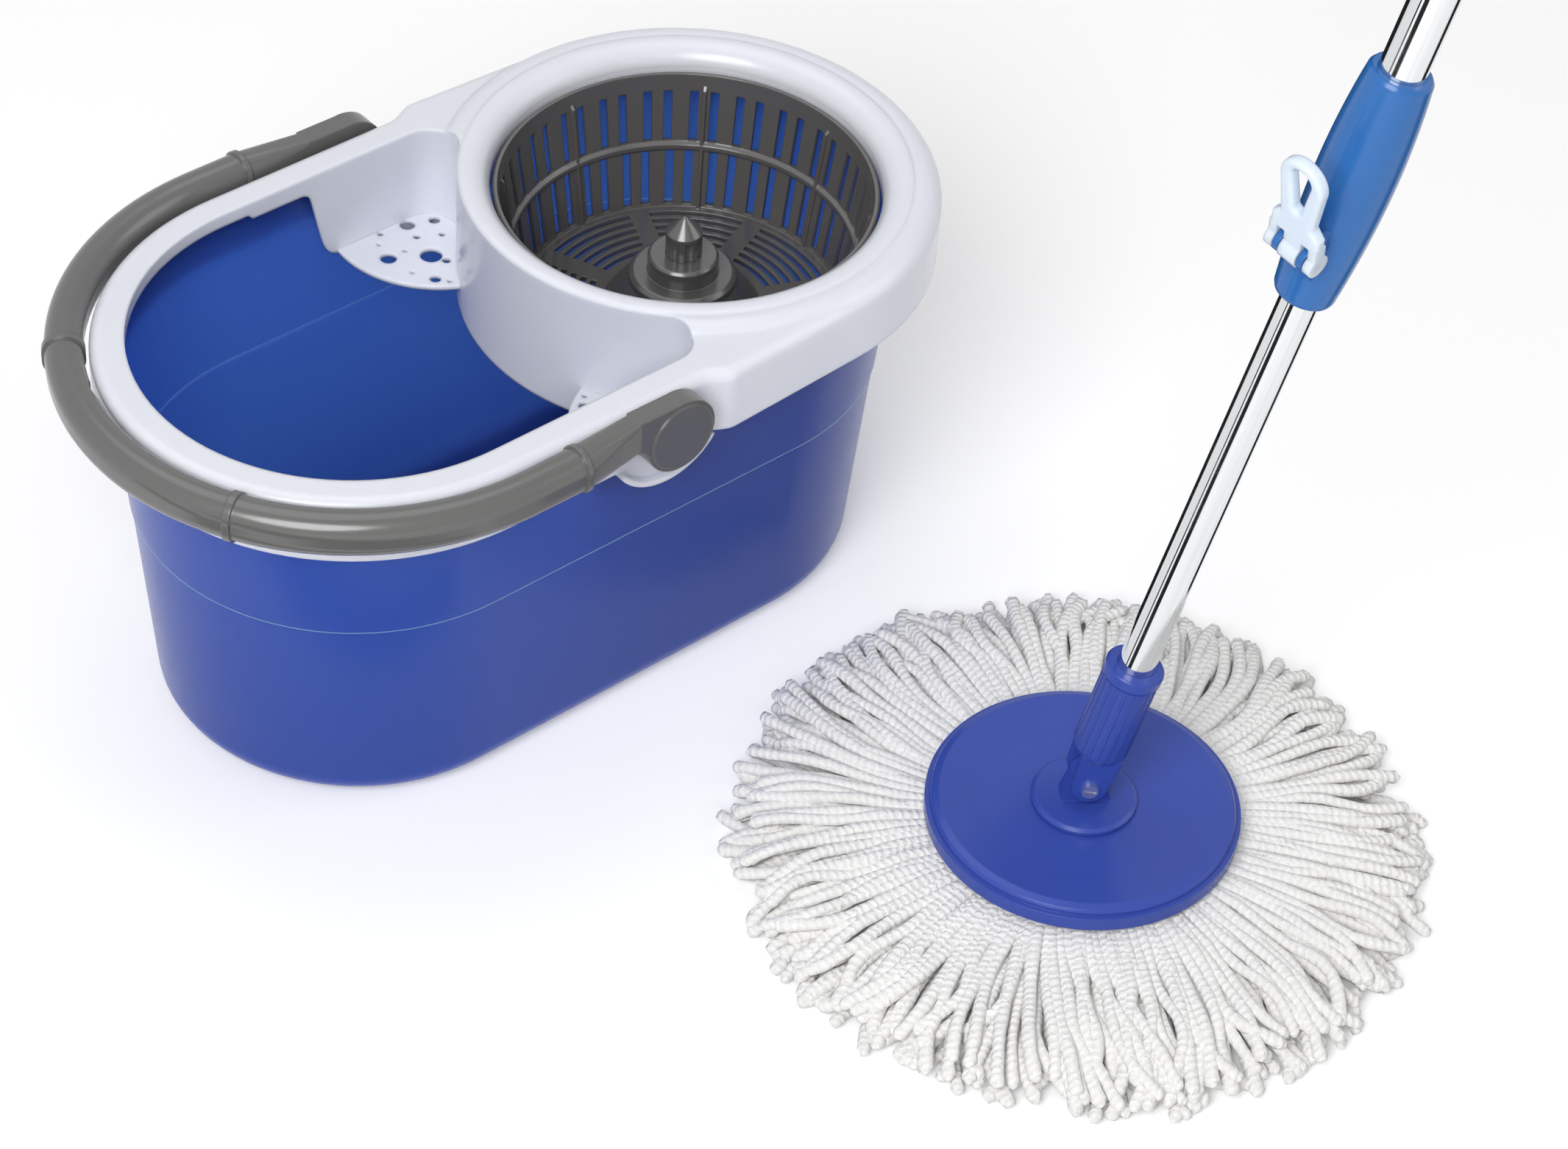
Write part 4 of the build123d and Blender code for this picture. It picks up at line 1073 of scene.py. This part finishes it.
    def _sector(self, sector: int, draw: random.Random) -> bpy.types.Object:
        """Make the strands of one sector.

        Args:
            sector: Number of the sector, counted round from +X.
            draw: Random source.

        Returns:
            The sector's piece.
        """
        width = 2 * math.pi / self.sectors
        points, faces, charts, painted_shades = [], [], [], []
        for level, layer in enumerate(self.layers):
            for index in range(layer.count):
                spot = index + 0.5 + self.tousle.stagger * (level % 2)
                spot += draw.uniform(-self.tousle.jitter, self.tousle.jitter)
                path = self._path(width * (sector + spot / layer.count), level, draw)
                more, sides, chart, tone = self._strand(path, level, draw)
                base = len(points)
                points += more
                painted_shades += tone
                faces += [tuple(base + corner for corner in side) for side in sides]
                charts += chart
        mesh = bpy.data.meshes.new(f"yarn_{sector + 1}")
        mesh.from_pydata([tuple(point) for point in points], [], faces)
        uv = mesh.uv_layers.new(name="strand")
        uv.data.foreach_set("uv", np.array(charts, np.float32).ravel())
        # The "depth" attribute holds the painted shade: darker lower layers, undersides and tips.
        depth = mesh.attributes.new("depth", "FLOAT", "POINT")
        depth.data.foreach_set("value", np.array(painted_shades, np.float32))
        mesh.polygons.foreach_set("use_smooth", [True] * len(mesh.polygons))
        mesh.update()
        return link_object(f"yarn_{sector + 1}", mesh)


@dataclass(frozen=True)
class Lamp:
    """Soft round lamp.

    Attributes:
        name: Name of the lamp.
        place: Where it hangs, in metres.
        aim: Point that it faces.
        size: Width, in metres.
        power: Power, in watts.
    """

    name: str
    place: Rgb
    aim: Rgb
    size: float
    power: float

    def hang(self) -> None:
        """Hang the lamp."""
        light = bpy.data.lights.new(self.name, "AREA")
        light.shape = "DISK"
        light.size = self.size
        light.energy = self.power
        lamp = link_object(self.name, light)
        lamp.location = self.place
        facing = Vector(self.aim) - Vector(self.place)
        lamp.rotation_euler = facing.to_track_quat("-Z", "Y").to_euler()


@dataclass(frozen=True)
class Card:
    """Card that the tubes mirror, a painted reflection: it is seen only in reflections.

    Attributes:
        start: Heading of its first edge from the pole's foot, in degrees.
        end: Heading of its last edge.
        tone: Its shade.
    """

    start: float
    end: float
    tone: Tone


@dataclass
class Studio:
    """Pale floor, soft lamps, dark and white cards that paint reflections into the tubes, and the
    photograph's viewpoint.

    Attributes:
        place: Where the camera stands, in metres.
        target: Point in the middle of the frame.
        roll: Turn of the frame, in degrees.
        focal: Focal length in pixels of the frame's width.
        frame_width: Width of the frame in pixels.
        sensor: Width of the sensor in millimetres.
        sight: How far the camera sees, in metres.
        floor_size: Side of the floor, in metres.
        floor_drop: How far the floor lies below the part.
        floor_grey: Grey of the floor.
        floor_rough: Its roughness.
        floor_gloss: Level of its reflection.
        glow_reach: Distances from the middle between which its glow rises.
        glow: Glow near the middle and far from it.
        foot: Where the pole's axis meets the floor.
        flags: Headings, in degrees, between which dark flags lie round the foot, painting dark
            reflections into the tubes.
        flag_reach: Distances from the foot between which they lie.
        flag_lift: Height of the flags above the floor.
        cards: Cards that stand beside the pole, along its lean, painting dark and bright
            reflections into the tubes.
        card_reach: How far from the pole's axis the cards stand.
        card_span: Where along the pole the cards begin and end.
        lamps: Lamps of the studio.
        room_seen: Colour of the room where it is seen.
        room_light: Strength of its even light.
        room_low: Colour of that light from below.
        room_top: Height, as a share, from which it is white.
    """

    place: Rgb = (-0.9926, -1.2913, 1.5235)
    target: Rgb = (0.1057, -0.1027, 0.0212)
    roll: float = 4.21
    focal: float = 5600.0
    frame_width: int = 2131
    sensor: float = 36.0
    sight: float = 60.0
    floor_size: float = 30.0
    floor_drop: float = 0.0004
    floor_grey: float = 0.90
    floor_rough: float = 0.7
    floor_gloss: float = 0.1
    glow_reach: Range = (0.9, 4.5)
    glow: Range = (0.19, 0.72)
    foot: tuple[float, float] = (0.1007, -0.3253)
    flags: tuple[Range, ...] = ((152.0, 160.0), (170.0, 192.0), (320.0, 344.0))
    flag_reach: Range = (0.20, 2.4)
    flag_lift: float = 0.0006
    cards: tuple[Card, ...] = (
        Card(44.0, 74.0, Tone.DARK), Card(74.0, 104.0, Tone.DARK),
        Card(104.0, 128.0, Tone.WHITE), Card(128.0, 152.0, Tone.WHITE))
    card_reach: float = 0.07
    card_span: Range = (0.11, 1.2)
    lamps: tuple[Lamp, ...] = (
        Lamp("key", (-2.0, -1.35, 2.3), (0.05, -0.05, 0.1), 2.0, 81.0),
        Lamp("fill", (2.0, -1.6, 1.5), (0.1, -0.2, 0.2), 1.8, 10.5),
        Lamp("top", (0.3, 0.9, 2.6), (0.1, 0.0, 0.1), 2.0, 11.5))
    room_seen: Rgba = (0.96, 0.96, 0.97, 1.0)
    room_light: float = 0.38
    room_low: Rgba = (0.5, 0.5, 0.52, 1.0)
    room_top: float = 0.8

    def build(self) -> None:
        """Set the whole studio."""
        self._camera()
        self._floor()
        self._mirrored()
        for lamp in self.lamps:
            lamp.hang()
        self._world()
        bpy.context.scene.view_settings.view_transform = "Standard"
        LOG.info("studio: %d lamps", len(self.lamps))

    def _camera(self) -> None:
        """Place the camera."""
        place, roll = Vector(self.place), math.radians(self.roll)
        back = (place - Vector(self.target)).normalized()
        right = Vector((0.0, 0.0, 1.0)).cross(back).normalized()
        upward = back.cross(right)
        level = right * math.cos(roll) + upward * math.sin(roll)
        plumb = upward * math.cos(roll) - right * math.sin(roll)
        lens = bpy.data.cameras.new("view")
        lens.sensor_width = self.sensor
        lens.lens = self.focal / self.frame_width * self.sensor
        lens.clip_end = self.sight
        camera = link_object("view", lens)
        camera.matrix_world = Matrix((
            (level.x, plumb.x, back.x, place.x),
            (level.y, plumb.y, back.y, place.y),
            (level.z, plumb.z, back.z, place.z),
            (0.0, 0.0, 0.0, 1.0)))
        bpy.context.scene.camera = camera

    @staticmethod
    def _seen(tree: Tree) -> Socket:
        """Tell what the camera, a mirror or glass shows.

        Args:
            tree: Tree that takes the nodes.

        Returns:
            Socket that is 1 for such rays.
        """
        path = tree.nodes.new("ShaderNodeLightPath").outputs
        first = join(tree, Sum.MAXIMUM, path["Is Camera Ray"], path["Is Glossy Ray"])
        return join(tree, Sum.MAXIMUM, first, path["Is Transmission Ray"])

    def _floor(self) -> None:
        """Lay the pale floor."""
        deselect()
        bpy.ops.mesh.primitive_plane_add(
            size=self.floor_size, location=(0.0, 0.0, -self.floor_drop))
        ground = bpy.context.object
        ground.name = "floor"
        bpy.ops.object.transform_apply(location=True, rotation=True, scale=True)
        material, tree, shader = start_material("floor_pale")
        set_sockets(shader, {
            "Base Color": (self.floor_grey, self.floor_grey, self.floor_grey, 1.0),
            "Roughness": self.floor_rough,
            "Specular IOR Level": self.floor_gloss,
            "Emission Color": WHITE,
        })
        where = tree.nodes.new("ShaderNodeTexCoord")
        reach = tree.nodes.new("ShaderNodeVectorMath")
        reach.operation = "LENGTH"
        tree.links.new(where.outputs["Object"], reach.inputs[0])
        far = span(tree, reach.outputs["Value"], self.glow_reach, *self.glow)
        glow = join(tree, Sum.MULTIPLY, self._seen(tree), far)
        tree.links.new(glow, shader.inputs["Emission Strength"])
        ground.data.materials.append(material)

    @staticmethod
    def _card_finish(tone: Tone) -> bpy.types.Material:
        """Make a dull finish for a card; the white card glows though it is no lamp, a painted
        bright reflection.

        Args:
            tone: Shade of the card.

        Returns:
            The material.
        """
        name, grey, glow = tone.value
        material, _, shader = start_material(name)
        set_sockets(shader, {
            "Base Color": (grey, grey, grey, 1.0),
            "Roughness": 1.0,
            "Specular IOR Level": 0.0,
            "Emission Color": WHITE,
            "Emission Strength": glow,
        })
        return material

    @staticmethod
    def _card(name: str, corners: Sequence[Vector], material: bpy.types.Material) -> None:
        """Set up a card that only mirrors see, a painted reflection.

        Args:
            name: Name of the card.
            corners: Its four corners, in order.
            material: Its finish.
        """
        mesh = bpy.data.meshes.new(name)
        mesh.from_pydata([tuple(corner) for corner in corners], [], [(0, 1, 2, 3)])
        mesh.materials.append(material)
        card = link_object(name, mesh)
        # Painted reflection: the card is hidden from the camera, from diffuse light and from
        # shadows, and shows only in reflections.
        card.visible_camera = False
        card.visible_diffuse = False
        card.visible_shadow = False
        card.visible_transmission = False
        card.visible_volume_scatter = False

    def _mirrored(self) -> None:
        """Lay dark flags on the floor and stand dark and white cards beside the pole, as painted
        reflections that paint dark and bright streaks into the tubes.
        """
        finishes = {tone: self._card_finish(tone) for tone in Tone}
        foot = Vector((self.foot[0], self.foot[1], 0.0))
        near, far = self.flag_reach
        for number, (start, end) in enumerate(self.flags):
            corners = []
            for reach, heading in ((near, start), (far, start), (far, end), (near, end)):
                turn = math.radians(heading)
                way = (reach * math.cos(turn), reach * math.sin(turn), self.flag_lift)
                corners.append(foot + Vector(way))
            self._card(f"flag_{number + 1}", corners, finishes[Tone.DARK])
        lean, heading = math.radians(LEAN), math.radians(LEAN_TO)
        flat = math.sin(lean)
        along = Vector((flat * math.cos(heading), flat * math.sin(heading), math.cos(lean)))
        low, high = along * self.card_span[0], along * self.card_span[1]
        for number, card in enumerate(self.cards):
            edges = []
            for turn in (math.radians(card.start), math.radians(card.end)):
                way = Vector((math.cos(turn), math.sin(turn), 0.0))
                edges.append(foot + way * self.card_reach)
            corners = [edges[0] + low, edges[1] + low, edges[1] + high, edges[0] + high]
            self._card(f"card_{number + 1}", corners, finishes[card.tone])

    def _world(self) -> None:
        """Light the room evenly, white where it is seen."""
        room = bpy.data.worlds.new("room")
        room.use_nodes = True
        tree = room.node_tree
        tree.nodes.clear()
        out = tree.nodes.new("ShaderNodeOutputWorld")
        seen = tree.nodes.new("ShaderNodeBackground")
        set_sockets(seen, {"Color": self.room_seen, "Strength": 1.0})
        lit = tree.nodes.new("ShaderNodeBackground")
        lit.inputs["Strength"].default_value = self.room_light
        where = tree.nodes.new("ShaderNodeTexCoord")
        split = tree.nodes.new("ShaderNodeSeparateXYZ")
        tree.links.new(where.outputs["Generated"], split.inputs["Vector"])
        ramp = tree.nodes.new("ShaderNodeValToRGB")
        low, high = ramp.color_ramp.elements
        low.position, low.color = 0.0, self.room_low
        high.position, high.color = self.room_top, WHITE
        tree.links.new(split.outputs["Z"], ramp.inputs["Fac"])
        tree.links.new(ramp.outputs["Color"], lit.inputs["Color"])
        blend = tree.nodes.new("ShaderNodeMixShader")
        tree.links.new(self._seen(tree), blend.inputs["Fac"])
        tree.links.new(lit.outputs["Background"], blend.inputs[1])
        tree.links.new(seen.outputs["Background"], blend.inputs[2])
        tree.links.new(blend.outputs["Shader"], out.inputs["Surface"])
        bpy.context.scene.world = room


def main() -> None:
    """Load the frame, dress it and set the studio."""
    logging.basicConfig(level=logging.INFO, format="%(name)s: %(message)s")
    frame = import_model()
    deselect()
    groups = NodeGroups()
    nodes = frame["nodes"]
    Bucket(nodes, groups).finish()
    Pole(nodes, groups).finish()
    MopHead(nodes, groups).finish()
    YarnSkirt(groups).build()
    Studio().build()


if __name__ == "__main__":
    main()
